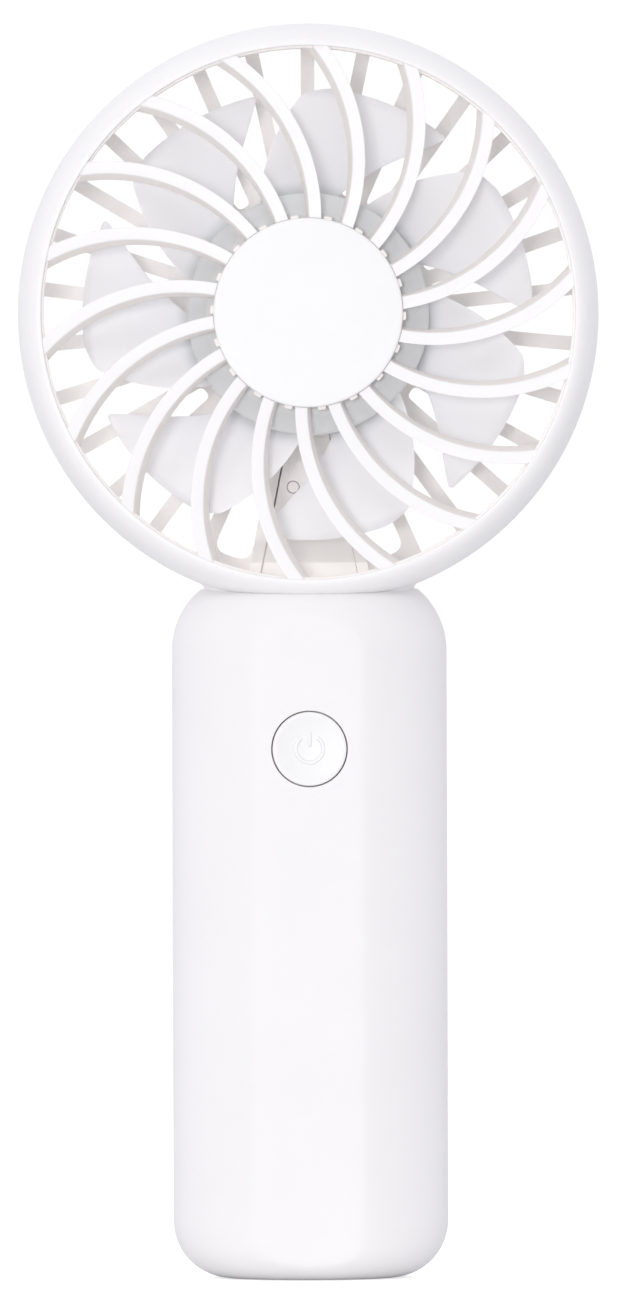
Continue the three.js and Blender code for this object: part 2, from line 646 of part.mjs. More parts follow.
// Half-width and half-depth of the handle at a height, for the outside or, with a wall, the inside.
function handleHalves(z, wall) {
  let a = HANDLE_HALF_W - wall;
  let b = HANDLE_HALF_D - wall;
  const inset = (round, past) => {
    const r = round - wall;
    return past > 0 ? r - Math.sqrt(Math.max(r ** 2 - past ** 2, 0)) : 0;
  };
  a -= inset(TOP_ROUND_W, z - TOP_ROUND_Z) + inset(BASE_ROUND_W, BASE_ROUND_W - z);
  b -= inset(TOP_ROUND_D, z - TOP_ROUND_Z) + inset(BASE_ROUND_D, BASE_ROUND_D - z);
  return [a, b];
}

function handleBody(wall) {
  const heights = [];
  for (let i = 0; i < 4; i += 1) {
    heights.push(wall + (BASE_ROUND_D - wall) * (1 - Math.cos((i / 4) * 90 * DEG)));
  }
  heights.push(BASE_ROUND_D, BASE_ROUND_W);
  const lastHeight = wall ? HANDLE_TOP_Z - wall : TOP_EDGE_Z - 0.4;
  for (let i = 0; i <= 3; i += 1) {
    heights.push(TOP_ROUND_Z + ((lastHeight - TOP_ROUND_Z) * i) / 3);
  }
  const levels = heights.map((z) => [z, ...handleHalves(z, wall)]);
  if (!wall) {
    levels.push([TOP_EDGE_Z, handleHalves(TOP_EDGE_Z, 0)[0], TOP_EDGE_HALF_D]);
    levels.push([HANDLE_TOP_Z, handleHalves(HANDLE_TOP_Z, 0)[0], TOP_HALF_D]);
  }
  return loft(levels, 36);
}

const screwPlaces = SHELL_SCREW_Z.flatMap((z) => [[-SHELL_SCREW_X, z], [SHELL_SCREW_X, z]]);

// The whole handle before it is parted into two shells.
function handleWhole() {
  const landCut = box(-30, 30, -30, LAND_Y, -1, 130);
  const innerLand = box(-30, 30, -30, LAND_Y + HANDLE_WALL, -1, 130);
  const outside = handleBody(0).subtract(landCut);
  const inside = handleBody(HANDLE_WALL).subtract(innerLand);
  const bosses = screwPlaces.map(([x, z]) => bar(BOSS_R, -30, 30, x, z, 12));
  const headCut = turned([
    [0, HEAD_FRONT_Y - GAP], ...rimRound(GAP), ...cupProfile(-GAP), [0, HEAD_BACK_Y + GAP],
  ], 120);
  const neckHole = neckColumn(GAP, NECK_FLANGE_TOP_Z, 130);
  const hollow = outside.subtract(inside);
  const midWall = handleBody(HANDLE_WALL / 2).subtract(innerLand);
  const withBosses = joined(hollow, joined(bosses).intersect(midWall));
  return withBosses.subtract(joined(headCut, neckHole));
}

function frontShell(whole) {
  const half = box(-40, 40, -40, SHELL_SPLIT_Y - GAP / 2, -5, 140);
  const buttonHole = bar(BUTTON_R + GAP, -30, -10, 0, BUTTON_Z, 32);
  const pilots = screwPlaces.map(([x, z]) => bar(SCREW_R + GAP, -9, 30, x, z, 10));
  const { half: postHalf } = BOARD_POSTS;
  const boardPosts = BOARD_POSTS.z.flatMap((z) => [-BOARD_POSTS.x, BOARD_POSTS.x].map((x) => (
    box(x - postHalf, x + postHalf, LAND_Y + HANDLE_WALL - 0.5, BOARD_FRONT_Y - GAP,
      z - postHalf, z + postHalf))));
  return joined(whole.intersect(half), boardPosts).subtract(joined(buttonHole, pilots));
}

function rearShell(whole) {
  const half = box(-40, 40, SHELL_SPLIT_Y + GAP / 2, 40, -5, 140);
  const holes = screwPlaces.map(([x, z]) => joined(
    bar(SCREW_R + GAP, -5, 30, x, z, 10),
    bar(SCREW_WELL_R, SCREW_SEAT_Y, 30, x, z, 14),
  ));
  const portHole = box(-PORT_HALF_W - GAP, PORT_HALF_W + GAP, 8, 30, PORT_Z - PORT_HALF_H - GAP,
    PORT_Z + PORT_HALF_H + GAP);
  const { y0, y1, half: postHalf } = CHARGE_POSTS;
  const boardUnder = PORT_Z - PORT_HALF_H - GAP - CHARGE_BOARD.thick;
  const posts = [-CHARGE_POSTS.x, CHARGE_POSTS.x].map((x) => (
    box(x - postHalf, x + postHalf, y0, y1, HANDLE_WALL - 0.5, boardUnder - GAP)));
  const cradle = CELL_CRADLES;
  const cradles = cradle.z.map((z) => (
    box(-cradle.halfW, cradle.halfW, cradle.y0, cradle.y1, z - cradle.half, z + cradle.half)));
  const cellSpace = post(CELL_R + GAP, CELL_Z - 2, CELL_Z + CELL_LENGTH + 2, 0, CELL_Y, 28);
  return joined(whole.intersect(half), posts, joined(cradles).subtract(cellSpace))
    .subtract(joined(joined(holes), portHole));
}

function shellScrew(x, z) {
  const seat = SCREW_SEAT_Y + GAP;
  const { r, height, slotLength, slotWidth, slotDepth } = SCREW_HEAD;
  const head = bar(r, seat, seat + height, x, z, 14);
  const slots = [[slotLength, slotWidth], [slotWidth, slotLength]].map(([w, h]) => (
    box(x - w / 2, x + w / 2, seat + height - slotDepth, seat + height + 1, z - h / 2, z + h / 2)));
  return joined(head, bar(SCREW_R, SCREW_TIP_Y, seat + 0.3, x, z, 8)).subtract(joined(slots));
}

// ---- button, switch and board --------------------------------------------

function powerButton() {
  const wallInside = LAND_Y + HANDLE_WALL;
  const face = BUTTON_FACE_Y;
  const profile = [
    [0, face + 0.35], [3, face + 0.22], [BUTTON_R - 0.5, face], [BUTTON_R, face + 0.4],
    [BUTTON_R, wallInside + GAP], [BUTTON_FLANGE_R, wallInside + GAP], [BUTTON_FLANGE_R, wallInside + 1.1],
    [1.6, wallInside + 1.1], [1.6, wallInside + 1.4], [0, wallInside + 1.4],
  ];
  const points = profile.map(([r, y]) => new THREE.Vector2(r, y));
  points.push(points[0].clone());
  const g = new THREE.LatheGeometry(points, 24);
  g.translate(0, 0, BUTTON_Z);
  return solid(g);
}

const plungerFront = LAND_Y + HANDLE_WALL + 1.4 + GAP;
const switchFront = BOARD_FRONT_Y - GAP - SWITCH_DEPTH;

function switchBody() {
  const half = SWITCH_SIZE / 2;
  const body = box(-half, half, switchFront, BOARD_FRONT_Y - GAP, BUTTON_Z - half, BUTTON_Z + half);
  return body.subtract(bar(PLUNGER_R + GAP, switchFront - 1, switchFront + 2, 0, BUTTON_Z, 16));
}

const switchPlunger = () => bar(PLUNGER_R, plungerFront, switchFront + 1, 0, BUTTON_Z, 16);

function circuitBoard() {
  const { halfW, z0, z1 } = BOARD_OUTLINE;
  const board = box(-halfW, halfW, BOARD_FRONT_Y, BOARD_FRONT_Y + BOARD_THICK, z0, z1);
  const chip = box(-2.5, 2.5, BOARD_FRONT_Y - 1.2, BOARD_FRONT_Y + 0.1, 77, 82);
  const coil = box(3.5, 7.5, BOARD_FRONT_Y - 2, BOARD_FRONT_Y + 0.1, 76.5, 80.5);
  const parts = [-7, -5].map((x) => box(x, x + 1, BOARD_FRONT_Y - 0.6, BOARD_FRONT_Y + 0.1, 79, 81));
  return joined(board, chip, coil, parts);
}

// ---- battery and charging ------------------------------------------------

function batteryCell() {
  const z1 = CELL_Z + CELL_LENGTH;
  const body = post(CELL_R, CELL_Z, z1 - 0.8, 0, CELL_Y, 28);
  return joined(body, post(3, z1 - 1, z1, 0, CELL_Y, 14));
}

function batteryTab(z) {
  return box(-3, 3, CELL_Y - 8, CELL_Y + 3, z, z + 0.3);
}

function chargeBoard() {
  const z1 = PORT_Z - PORT_HALF_H - GAP;
  const { halfW, y0, y1, thick } = CHARGE_BOARD;
  return box(-halfW, halfW, y0, y1, z1 - thick, z1);
}

// Oval metal receptacle, open to the back, with its contact tongue.
function usbSocket() {
  const oval = (halfW, halfH) => {
    const s = new THREE.Shape();
    s.absarc(-(halfW - halfH), 0, halfH, Math.PI / 2, (3 * Math.PI) / 2, false);
    s.absarc(halfW - halfH, 0, halfH, -Math.PI / 2, Math.PI / 2, false);
    return s;
  };
  const shell = slab(oval(PORT_HALF_W, PORT_HALF_H), 8.6, 16, PORT_Z);
  const mouth = slab(oval(PORT_HALF_W - 0.35, PORT_HALF_H - 0.35), 9.6, 17, PORT_Z);
  const tongue = box(-3.3, 3.3, 9, 14.6, PORT_Z - 0.35, PORT_Z + 0.35);
  return joined(shell.subtract(mouth), tongue);
}

// ---- assembly ------------------------------------------------------------

const finishes = {
  shell: { color: 0xf6f5f6, roughness: 0.5, metalness: 0 },
  impeller: { color: 0xe2e1e6, roughness: 0.45, metalness: 0 },
  steel: { color: 0xb8bbc0, roughness: 0.35, metalness: 1 },
  brass: { color: 0xb89b5e, roughness: 0.4, metalness: 1 },
  dark: { color: 0x2a2a2c, roughness: 0.6, metalness: 0 },
  board: { color: 0x1f5a3a, roughness: 0.5, metalness: 0 },
  cell: { color: 0x3c79b4, roughness: 0.4, metalness: 0 },
  red: { color: 0xb02a22, roughness: 0.5, metalness: 0 },
  black: { color: 0x1c1c1e, roughness: 0.5, metalness: 0 },
};

const fan = new THREE.Group();

function add(name, body, finish) {
  const { vertProperties, triVerts } = body.getMesh();
  const g = new THREE.BufferGeometry();
  g.setAttribute('position', new THREE.BufferAttribute(new Float32Array(vertProperties), 3));
  g.setIndex(new THREE.BufferAttribute(new Uint32Array(triVerts), 1));
  const mesh = new THREE.Mesh(g, new THREE.MeshStandardMaterial(finishes[finish]));
  mesh.name = name;
  fan.add(mesh);
}

add('front_grille', frontGrille(), 'shell');
add('hub_cap', hubCap(), 'shell');
add('rear_grille', rearGrille(), 'shell');
add('wire_channel_cover', channelCover(), 'shell');
add('impeller', impeller(), 'impeller');

add('motor_can', motorCan(), 'steel');
add('motor_magnet', motorMagnet(), 'dark');
add('motor_front_bush', bush(MOTOR_FRONT_Y - 1.2, MOTOR_FRONT_Y - 1.2 + BUSH_LENGTH.front), 'brass');
add('motor_rear_bush', bush(END_PLATE.noseY - 0.2 - BUSH_LENGTH.rear, END_PLATE.noseY - 0.2), 'brass');
add('motor_end_plate', motorEndPlate(), 'dark');
add('motor_armature', motorArmature(), 'steel');
add('motor_shaft', bar(SHAFT_R, SHAFT_FRONT_Y, END_PLATE.noseY, 0, HEAD_Z, 14), 'steel');

const whole = handleWhole();
add('handle_front_shell', frontShell(whole), 'shell');
add('handle_rear_shell', rearShell(whole), 'shell');
screwPlaces.forEach(([x, z], i) => add(`shell_screw_${i + 1}`, shellScrew(x, z), 'steel'));

add('power_button', powerButton(), 'shell');
add('switch_body', switchBody(), 'dark');
add('switch_plunger', switchPlunger(), 'black');
add('circuit_board', circuitBoard(), 'board');

add('battery_cell', batteryCell(), 'cell');
add('battery_tab_top', batteryTab(CELL_Z + CELL_LENGTH + GAP), 'steel');
add('battery_tab_bottom', batteryTab(CELL_Z - 2 * GAP), 'steel');
add('charge_board', chargeBoard(), 'board');
add('usb_socket', usbSocket(), 'steel');

const boardBack = BOARD_FRONT_Y + BOARD_THICK + WIRE_R + GAP;
const motorWire = (x) => wire([
  [x, 14.15, HEAD_Z - 6.5], [x, 14.15, HEAD_Z - 13], [x, 13.7, HEAD_Z - 20], [x, 13.7, HEAD_Z - 35],
  [x, 12, HEAD_Z - 40], [x, 8.6, HEAD_Z - 44], [x, 5.8, HEAD_Z - 48], [x, 5.6, HEAD_Z - 56],
  [x, 4, HEAD_Z - 62], [x, -2, HEAD_Z - 65], [x, boardBack, HEAD_Z - 66],
]);
add('motor_wire_red', motorWire(-0.6), 'red');
add('motor_wire_black', motorWire(1), 'black');
add('battery_wire_red', wire([
  [5, CELL_Y, 90.5], [5, CELL_Y, 92.5], [5, 0, 94], [5, -3.5, 95], [5, boardBack, 95.5],
]), 'red');
add('battery_wire_black', wire([
  [0, -4.6, CELL_Z - 1.6], [4, -5.3, CELL_Z - 2.6], [8.4, -5.6, CELL_Z + 2], [8.6, -5.6, CELL_Z + 20],
  [8.6, -5.6, CELL_Z + 44], [8.2, boardBack, CELL_Z + 52],
]), 'black');

export default fan;
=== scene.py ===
"""Handheld electric fan: visual pieces, materials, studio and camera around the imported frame.

Lengths are written in millimetres and scaled to metres where a mesh is made.
X is to the right, Y to the back, Z up; the front faces -Y.
"""
import json
import math

import bmesh
import bpy
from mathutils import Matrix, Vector

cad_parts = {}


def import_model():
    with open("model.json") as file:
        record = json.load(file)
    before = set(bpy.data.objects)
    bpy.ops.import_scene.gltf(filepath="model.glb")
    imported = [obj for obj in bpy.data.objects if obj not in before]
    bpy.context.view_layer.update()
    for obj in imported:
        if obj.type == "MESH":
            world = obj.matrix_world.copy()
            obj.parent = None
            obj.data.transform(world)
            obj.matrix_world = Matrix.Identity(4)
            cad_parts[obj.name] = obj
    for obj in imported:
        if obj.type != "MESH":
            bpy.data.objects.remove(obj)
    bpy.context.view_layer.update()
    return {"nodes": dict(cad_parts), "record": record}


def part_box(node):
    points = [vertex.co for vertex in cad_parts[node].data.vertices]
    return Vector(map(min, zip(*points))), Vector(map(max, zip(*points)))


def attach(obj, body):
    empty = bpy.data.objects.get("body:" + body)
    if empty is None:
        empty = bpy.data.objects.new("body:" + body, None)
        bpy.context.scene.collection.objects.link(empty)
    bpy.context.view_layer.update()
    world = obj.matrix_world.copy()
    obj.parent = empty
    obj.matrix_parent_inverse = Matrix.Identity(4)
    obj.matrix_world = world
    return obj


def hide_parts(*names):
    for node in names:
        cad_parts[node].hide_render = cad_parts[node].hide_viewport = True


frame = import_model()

MM = 0.001


def box_mm(node):
    """Lowest and highest corner of a CAD node, in millimetres."""
    lo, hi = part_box(node)
    return Vector(lo) / MM, Vector(hi) / MM


# ---- sizes, from the frame where it has them -----------------------------

SPIN = next(j for j in frame["record"]["behaviour"]["joints"] if j["name"] == "impeller_spin")
HEAD_Z = SPIN["pos_m"][2] / MM
GRILLE_LO, GRILLE_HI = box_mm("front_grille")
REAR_LO, REAR_HI = box_mm("rear_grille")
CAP_HI = box_mm("hub_cap")[1]
FRONT_LO, FRONT_HI = box_mm("handle_front_shell")
BACK_HI = box_mm("handle_rear_shell")[1]
BUTTON_LO, BUTTON_HI = box_mm("power_button")
IMPELLER_LO, IMPELLER_HI = box_mm("impeller")
PORT_LO, PORT_HI = box_mm("usb_socket")

HEAD_R = GRILLE_HI.x
HEAD_FRONT_Y = GRILLE_LO.y
HEAD_BACK_Y = REAR_HI.y
SPLIT_Y = -4
OPENING_R = 45.8
LEDGE_R = 45.35             # narrow step inside the rim's opening
LEDGE_Y = -14
RIM_ROUND_Y = -5
SEAM = 0.12                 # width of a closed parting line
SEAM_CHAMFER_R = 0.12
SEAM_CHAMFER_Y = 0.15
RIM_LAND = 0.5              # flat between the opening and the rim's rounding
LEDGE_DRAFT = 0.25
AHEAD_Y = -30               # cutters reach from here, in front of everything,
BEHIND_Y = 30               # to here, behind it
CUTTER_HALF_X = 20

VANE_COUNT = 18
VANE_ROOT_ANGLE = 5.3
VANE_SWEEP = 22.9
VANE_ARC_R = 32.4
VANE_WIDTH = 2.15
VANE_START_R = 13.5
VANE_END_R = 46.8
VANE_FRONT_Y = -14.5
VANE_BACK_Y = -11.6
VANE_LEAN = 0.7             # degrees of turn per millimetre of depth
HUB_RING_R = 15.9
CAP_R = CAP_HI.x
CAP_SEAT_Y = VANE_FRONT_Y + 0.6
CAP_BACK_Y = VANE_FRONT_Y + 0.65
CAP_CLEARANCE = 0.08
CAP_EDGE = 0.75
TOOTH_ANGLE = 18
TOOTH_ROOT_R = 14.6
TOOTH_R = 16.8
TOOTH_DEPTH = 2.2
TOOTH_WIDTH = 1.4

SPOKE_COUNT = 30
SPOKE_WIDTH = 2.4
REAR_DISC_R = 22
SLOT_END_R = 47.6
SHORT_SLOT_END_R = 43.8     # windows beside the arm
SHELL_WALL = 2
SLOT_INNER_ROUND = 1.05
SLOT_OUTER_ROUND = 1.2
SHORT_SLOT_ROUND = 2.4
BACK_ROUND_R = 16
LIP_R = 47.6
LIP_INNER_R = 45.85
LIP_DEPTH = 2

CHANNEL_TOP_R = 19.5
CHANNEL_RAMP_R = 38.6
CHANNEL_KNEE_R = 42.7
CHANNEL_END_R = 45.4
CHANNEL_HALF_TOP = 3.5
CHANNEL_HALF_END = 8.6
CHANNEL_WALL = 2
KNEE_ROUND = 2.6
RAMP_END_ROUND = 0.3
ARM_TOP_R = 13
ARM_END_R = 49
ARM_FRONT_Y = -4
CHANNEL_FLOOR_R = 46.4
COVER_FRONT_Y = 10.6
COVER_THICK = 1.2
COVER_CLEARANCE = 0.2
COVER_SHIFT_X = 0.08        # the left gap is the wider one
COVER_EDGE = 0.15
COVER_KNEE_FRONT_Y = 3.4
COVER_END_FRONT_Y = 2.6
PEG_X = -2.7
PEG_DROP = 29.6
PEG_R = 1
PEG_CLEARANCE = 0.1

BLADE_COUNT = 7
BLADE_TIP_ANGLE = 51.8
BLADE_TIP_R = 38.9
BLADE_TIP_SPAN = 38.3
BLADE_LEAD_SWEEP = 24.5
BLADE_TRAIL_SWEEP = 23.2
BLADE_LEAD_Y = 2.6
BLADE_TRAIL_Y = -7.4
IMPELLER_HUB_R = 20.8
BLADE_ROOT_SINK = 0.7
BLADE_THICK = 1.25
BLADE_BOW = 1.1
BLADE_TIP_ROUND = 0.8       # radial reach of the rounded leading corner
BLADE_TIP_BLEND = 1.8       # and of the longer curve of the trailing one
LEAD_CORNER_DEG = 1.3
TRAIL_CORNER_DEG = 5.5
BLADE_EDGE = 0.28           # share of the thickness left at the front and back edges
BLADE_TIP_EDGE = 0.4        # and at the tip
IMPELLER_FRONT_Y = IMPELLER_LO.y
IMPELLER_BACK_Y = IMPELLER_HI.y
MOTOR_SEAT_R = 13.9
MOTOR_SEAT_WALL = 1.6
MOTOR_SEAT_Y = 4.5
WIRE_SLOT_HALF_W = 3
WIRE_SLOT_Y = 11.4
WIRE_SLOT_TOP_R = 11

HALF_W = FRONT_HI.x
HALF_D = BACK_HI.y
TOP_Z = FRONT_HI.z
TOP_RIDGE_Z = 117.6         # front and back edges of the sloping top
TOP_RIDGE_HALF_D = 14
TOP_HALF_D = 11.3
RIDGE_STEPS = 7
OVAL_POWER = 2.2
HANDLE_WALL = 1.8
TOP_ROUND_W = 13.8
TOP_ROUND_D = 18.4
TOP_ROUND_Z = 108.1
BASE_ROUND_W = 9.8
BASE_ROUND_D = 5.5
LAND_Y = FRONT_LO.y
LAND_SOFTNESS = 0.1
SHELL_SPLIT_Y = 2
NECK_Y = -1.9
NECK_HALF_W = 18.1
NECK_HALF_D = 10.5
NECK_FLANGE = 0.8
NECK_FLANGE_TOP_Z = 114.3
NECK_FLARE_Z = 118.2
NECK_FLARE_R = 2.2
NECK_FLARE_TURN = 66
NECK_INNER_R = 48.8
NECK_BOTTOM_Z = REAR_LO.z

BUTTON_Z = (BUTTON_LO.z + BUTTON_HI.z) / 2
BUTTON_FACE_Y = BUTTON_LO.y
BUTTON_R = 6.39
BUTTON_HOLE_R = 6.55
BUTTON_FLANGE_R = BUTTON_HI.x
# painted shade for the walls of the gap around the button
GAP_PAINTED_SHADE = (0.2, 0.12, 0.09)
SYMBOL_HALF = 0.2
SYMBOL_FLANK = 0.22
SYMBOL_RING_R = 2.35
SYMBOL_GAP_DEG = 34
SCREW_X = 14
SCREW_Z = (19, 99.5)
SCREW_SEAT_Y = 11.4
SCREW_WELL_R = 2.1
WELL_POST_R = 2.9
WELL_FLOOR = 0.9
SHANK_HOLE_R = 1.1
SCREW_SHANK_R = 0.85
SCREW_TIP_Y = -7
SCREW_TAPER = 1.5
SCREW_TIP_R = 0.45
SCREW_HEAD_R = 1.75
SLOT_HALF_LENGTH = 1.05
SLOT_HALF_WIDTH = 0.2
PORT_Z = (PORT_LO.z + PORT_HI.z) / 2
PORT_HALF_W = PORT_HI.x
PORT_HALF_H = (PORT_HI.z - PORT_LO.z) / 2
PORT_CLEARANCE = 0.2
PORT_SLEEVE = 0.3


# ---- mesh helpers --------------------------------------------------------

def scene_object(name, data):
    obj = bpy.data.objects.new(name, data)
    bpy.context.scene.collection.objects.link(obj)
    return obj


def mesh_object(name, verts, faces, smooth_deg=32):
    """A mesh object from millimetre points, faces turned outwards."""
    mesh = bpy.data.meshes.new(name)
    bm = bmesh.new()
    made = [bm.verts.new(Vector(v) * MM) for v in verts]
    for face in faces:
        bm.faces.new([made[i] for i in face])
    bmesh.ops.remove_doubles(bm, verts=bm.verts, dist=1e-7)
    bmesh.ops.recalc_face_normals(bm, faces=bm.faces)
    bm.to_mesh(mesh)
    bm.free()
    obj = scene_object(name, mesh)
    soften(obj, smooth_deg)
    return obj


def soften(obj, degrees=32):
    """Smooth shading, with edges steeper than the angle kept sharp."""
    obj.data.polygons.foreach_set("use_smooth", [True] * len(obj.data.polygons))
    obj.data.set_sharp_from_angle(angle=math.radians(degrees))


def bake_modifiers(obj):
    """Applies the object's modifiers to its mesh."""
    graph = bpy.context.evaluated_depsgraph_get()
    mesh = bpy.data.meshes.new_from_object(obj.evaluated_get(graph))
    obj.modifiers.clear()
    obj.data = mesh
    soften(obj)


def combine(obj, others, operation):
    """Joins or cuts obj with the other objects, which are used up."""
    for other in others:
        mod = obj.modifiers.new(operation.lower(), "BOOLEAN")
        mod.operation = operation
        mod.solver = "EXACT"
        mod.object = other
    bake_modifiers(obj)
    for other in others:
        bpy.data.objects.remove(other)
    return obj


def cut(obj, *others):
    return combine(obj, others, "DIFFERENCE")


def join(obj, *others):
    return combine(obj, others, "UNION")


def merged(name, objects):
    """One object from several that don't touch each other."""
    bm = bmesh.new()
    for obj in objects:
        bm.from_mesh(obj.data)
    mesh = bpy.data.meshes.new(name)
    bm.to_mesh(mesh)
    bm.free()
    for obj in objects:
        bpy.data.objects.remove(obj)
    return scene_object(name, mesh)


def round_edges(obj, width):
    """Rounds the edges of a finished shape that are sharper than 35 degrees."""
    bevel = obj.modifiers.new("edge", "BEVEL")
    bevel.width = width * MM
    bevel.segments = 2
    bevel.limit_method = "ANGLE"
    bevel.angle_limit = math.radians(35)
    bevel.use_clamp_overlap = True
    bake_modifiers(obj)
    return obj


def polar(r, deg):
    return (r * math.cos(math.radians(deg)), r * math.sin(math.radians(deg)))


def filleted(points, radii, steps=5):
    """A closed outline with each corner replaced by an arc of its radius."""
    if not hasattr(radii, "__len__"):
        radii = [radii] * len(points)
    out = []
    for i, radius in enumerate(radii):
        p = Vector(points[i])
        before = Vector(points[i - 1]) - p
        after = Vector(points[(i + 1) % len(points)]) - p
        if radius <= 0:
            out.append(tuple(p))
            continue
        half = before.angle(after) / 2
        reach = radius / math.tan(half)
        reach = min(reach, before.length * 0.49, after.length * 0.49)
        a = p + before.normalized() * reach
        b = p + after.normalized() * reach
        for k in range(steps + 1):
            t = k / steps
            out.append(tuple(a * (1 - t) ** 2 + p * 2 * t * (1 - t) + b * t ** 2))
    return out


def lathe(name, profile, steps=180, centre_z=HEAD_Z):
    """Turns a closed [radius, y] outline about an axis along Y."""
    verts = []
    for k in range(steps):
        c, s = math.cos(2 * math.pi * k / steps), math.sin(2 * math.pi * k / steps)
        verts += [(r * c, y, centre_z + r * s) for r, y in profile]
    n = len(profile)
    faces = []
    for k in range(steps):
        a, b = k * n, ((k + 1) % steps) * n
        for i in range(n):
            j = (i + 1) % n
            corner = [a + i, a + j, b + j, b + i]
            if profile[i][0] < 1e-9 and profile[j][0] < 1e-9:
                continue
            if profile[i][0] < 1e-9:
                corner = [a + i, a + j, b + j]
            elif profile[j][0] < 1e-9:
                corner = [a + i, a + j, b + i]
            faces.append(corner)
    return mesh_object(name, verts, faces)


def prism(name, first, last):
    """A closed body between two outlines of equal length."""
    n = len(first)
    faces = [list(range(n)), list(range(2 * n - 1, n - 1, -1))]
    faces += [[i, (i + 1) % n, n + (i + 1) % n, n + i] for i in range(n)]
    return mesh_object(name, first + last, faces)


def slab(name, outline, y0, y1, centre_z=HEAD_Z):
    """A front-view outline carried from depth y0 to y1."""
    return prism(name, *[[(x, y, centre_z + z) for x, z in outline] for y in (y0, y1)])


def side_slab(name, outline, half_x=CUTTER_HALF_X):
    """A side-view (y, z) outline carried from left to right."""
    return prism(name, *[[(x, y, z) for y, z in outline] for x in (-half_x, half_x)])


def column(name, outline, z0, z1):
    """A plan outline (x, y) carried from height z0 to z1."""
    return prism(name, *[[(x, y, z) for x, y in outline] for z in (z0, z1)])


def block(name, x0, x1, y0, y1, z0, z1):
    return column(name, [(x0, y0), (x1, y0), (x1, y1), (x0, y1)], z0, z1)


def moved_x(obj, x):
    """The object, its mesh moved sideways."""
    for v in obj.data.vertices:
        v.co.x += x * MM
    return obj


def skin(name, rings, smooth_deg=32):
    """A closed body over rings of equal length, with its two end rings capped."""
    n = len(rings[0])
    verts = [p for ring in rings for p in ring]
    faces = []
    for k in range(len(rings) - 1):
        for i in range(n):
            j = (i + 1) % n
            faces.append([k * n + i, k * n + j, (k + 1) * n + j, (k + 1) * n + i])
    faces.append(list(range(n)))
    faces.append([(len(rings) - 1) * n + i for i in reversed(range(n))])
    return mesh_object(name, verts, faces, smooth_deg)


def turned_copy(obj, deg):
    """A copy of obj turned about the head's axis, counter-clockwise from the front."""
    c, s = math.cos(math.radians(deg)), math.sin(math.radians(deg))
    copy = scene_object(obj.name, obj.data.copy())
    for v in copy.data.vertices:
        x, z = v.co.x, v.co.z - HEAD_Z * MM
        v.co.x, v.co.z = x * c - z * s, HEAD_Z * MM + x * s + z * c
    return copy


def repeated(obj, count):
    """The object with its copies spread evenly round the head, as one mesh."""
    copies = [turned_copy(obj, 360 / count * k) for k in range(1, count)]
    return merged(obj.name, [obj] + copies)


# ---- materials -----------------------------------------------------------

# noise scales are in cycles per metre, reliefs in millimetres
FLOW_SCALE = 38
PLASTIC_RELIEF = 0.012
METAL_GRAIN = 900
METAL_RELIEF = 0.004
WHITE = (0.935, 0.925, 0.925)
CAP_WHITE = (0.93, 0.925, 0.925)
HANDLE_WHITE = (0.912, 0.902, 0.908)
BUTTON_WHITE = (0.9, 0.895, 0.895)
BLADE_GREY = (0.93, 0.93, 0.955)
# painted shade on the impeller's hub, which is the same plastic as the blades
HUB_PAINTED_SHADE = (0.69, 0.705, 0.715)
REAR_WHITE = (0.96, 0.93, 0.91)
# painted warm shade on the sides of the vanes
VANE_SIDE_PAINTED_SHADE = (0.93, 0.885, 0.85)
# strengths of the painted glow on the impeller and the rear grille, and its rise near the rim
IMPELLER_PAINTED_GLOW = 0.06
REAR_PAINTED_GLOW = 0.015
RIM_PAINTED_GLOW = 0.1


def shader(name):
    """A node material, with its Principled shader and its node tree."""
    mat = bpy.data.materials.new(name)
    mat.use_nodes = True
    return mat, mat.node_tree.nodes["Principled BSDF"], mat.node_tree


def with_values(node, values):
    """Sets values on a node's sockets."""
    for label, value in values.items():
        node.inputs[label].default_value = value


def grain(tree, scale, detail=3.0, rough=0.55):
    """Object-space noise at a scale in cycles per metre."""
    coord = tree.nodes.new("ShaderNodeTexCoord")
    noise = tree.nodes.new("ShaderNodeTexNoise")
    with_values(noise, {"Scale": scale, "Detail": detail, "Roughness": rough})
    tree.links.new(coord.outputs["Object"], noise.inputs["Vector"])
    return noise.outputs["Fac"]


def ranged(tree, value, span, onto=(0, 1), smooth=False):
    """Maps a value from one range onto another, clamped at both ends."""
    node = tree.nodes.new("ShaderNodeMapRange")
    node.interpolation_type = "SMOOTHSTEP" if smooth else "LINEAR"
    for label, (low, high) in (("From", span), ("To", onto)):
        node.inputs[f"{label} Min"].default_value = low
        node.inputs[f"{label} Max"].default_value = high
    tree.links.new(value, node.inputs["Value"])
    return node.outputs["Result"]


def spread(tree, noise, low, high):
    """Maps noise onto a range."""
    return ranged(tree, noise, (0.3, 0.7), (low, high))


def vector_step(tree, source, operation, constant=None):
    """One vector operation on a source, with a constant where it takes one."""
    node = tree.nodes.new("ShaderNodeVectorMath")
    node.operation = operation
    if constant:
        node.inputs[1].default_value = constant
    tree.links.new(source, node.inputs[0])
    return node.outputs["Value" if operation in ("LENGTH", "DOT_PRODUCT") else "Vector"]


def tinted(tree, source, dark, light):
    """Blends two colours by noise."""
    ramp = tree.nodes.new("ShaderNodeValToRGB")
    ramp.color_ramp.elements[0].position = 0.35
    ramp.color_ramp.elements[0].color = (*dark, 1)
    ramp.color_ramp.elements[1].position = 0.65
    ramp.color_ramp.elements[1].color = (*light, 1)
    tree.links.new(source, ramp.inputs["Fac"])
    return ramp.outputs["Color"]


def bumped(tree, bsdf, source, strength, distance):
    """Gives the shader a fine relief of a depth in millimetres."""
    bump = tree.nodes.new("ShaderNodeBump")
    with_values(bump, {"Strength": strength, "Distance": distance * MM})
    tree.links.new(source, bump.inputs["Height"])
    tree.links.new(bump.outputs["Normal"], bsdf.inputs["Normal"])


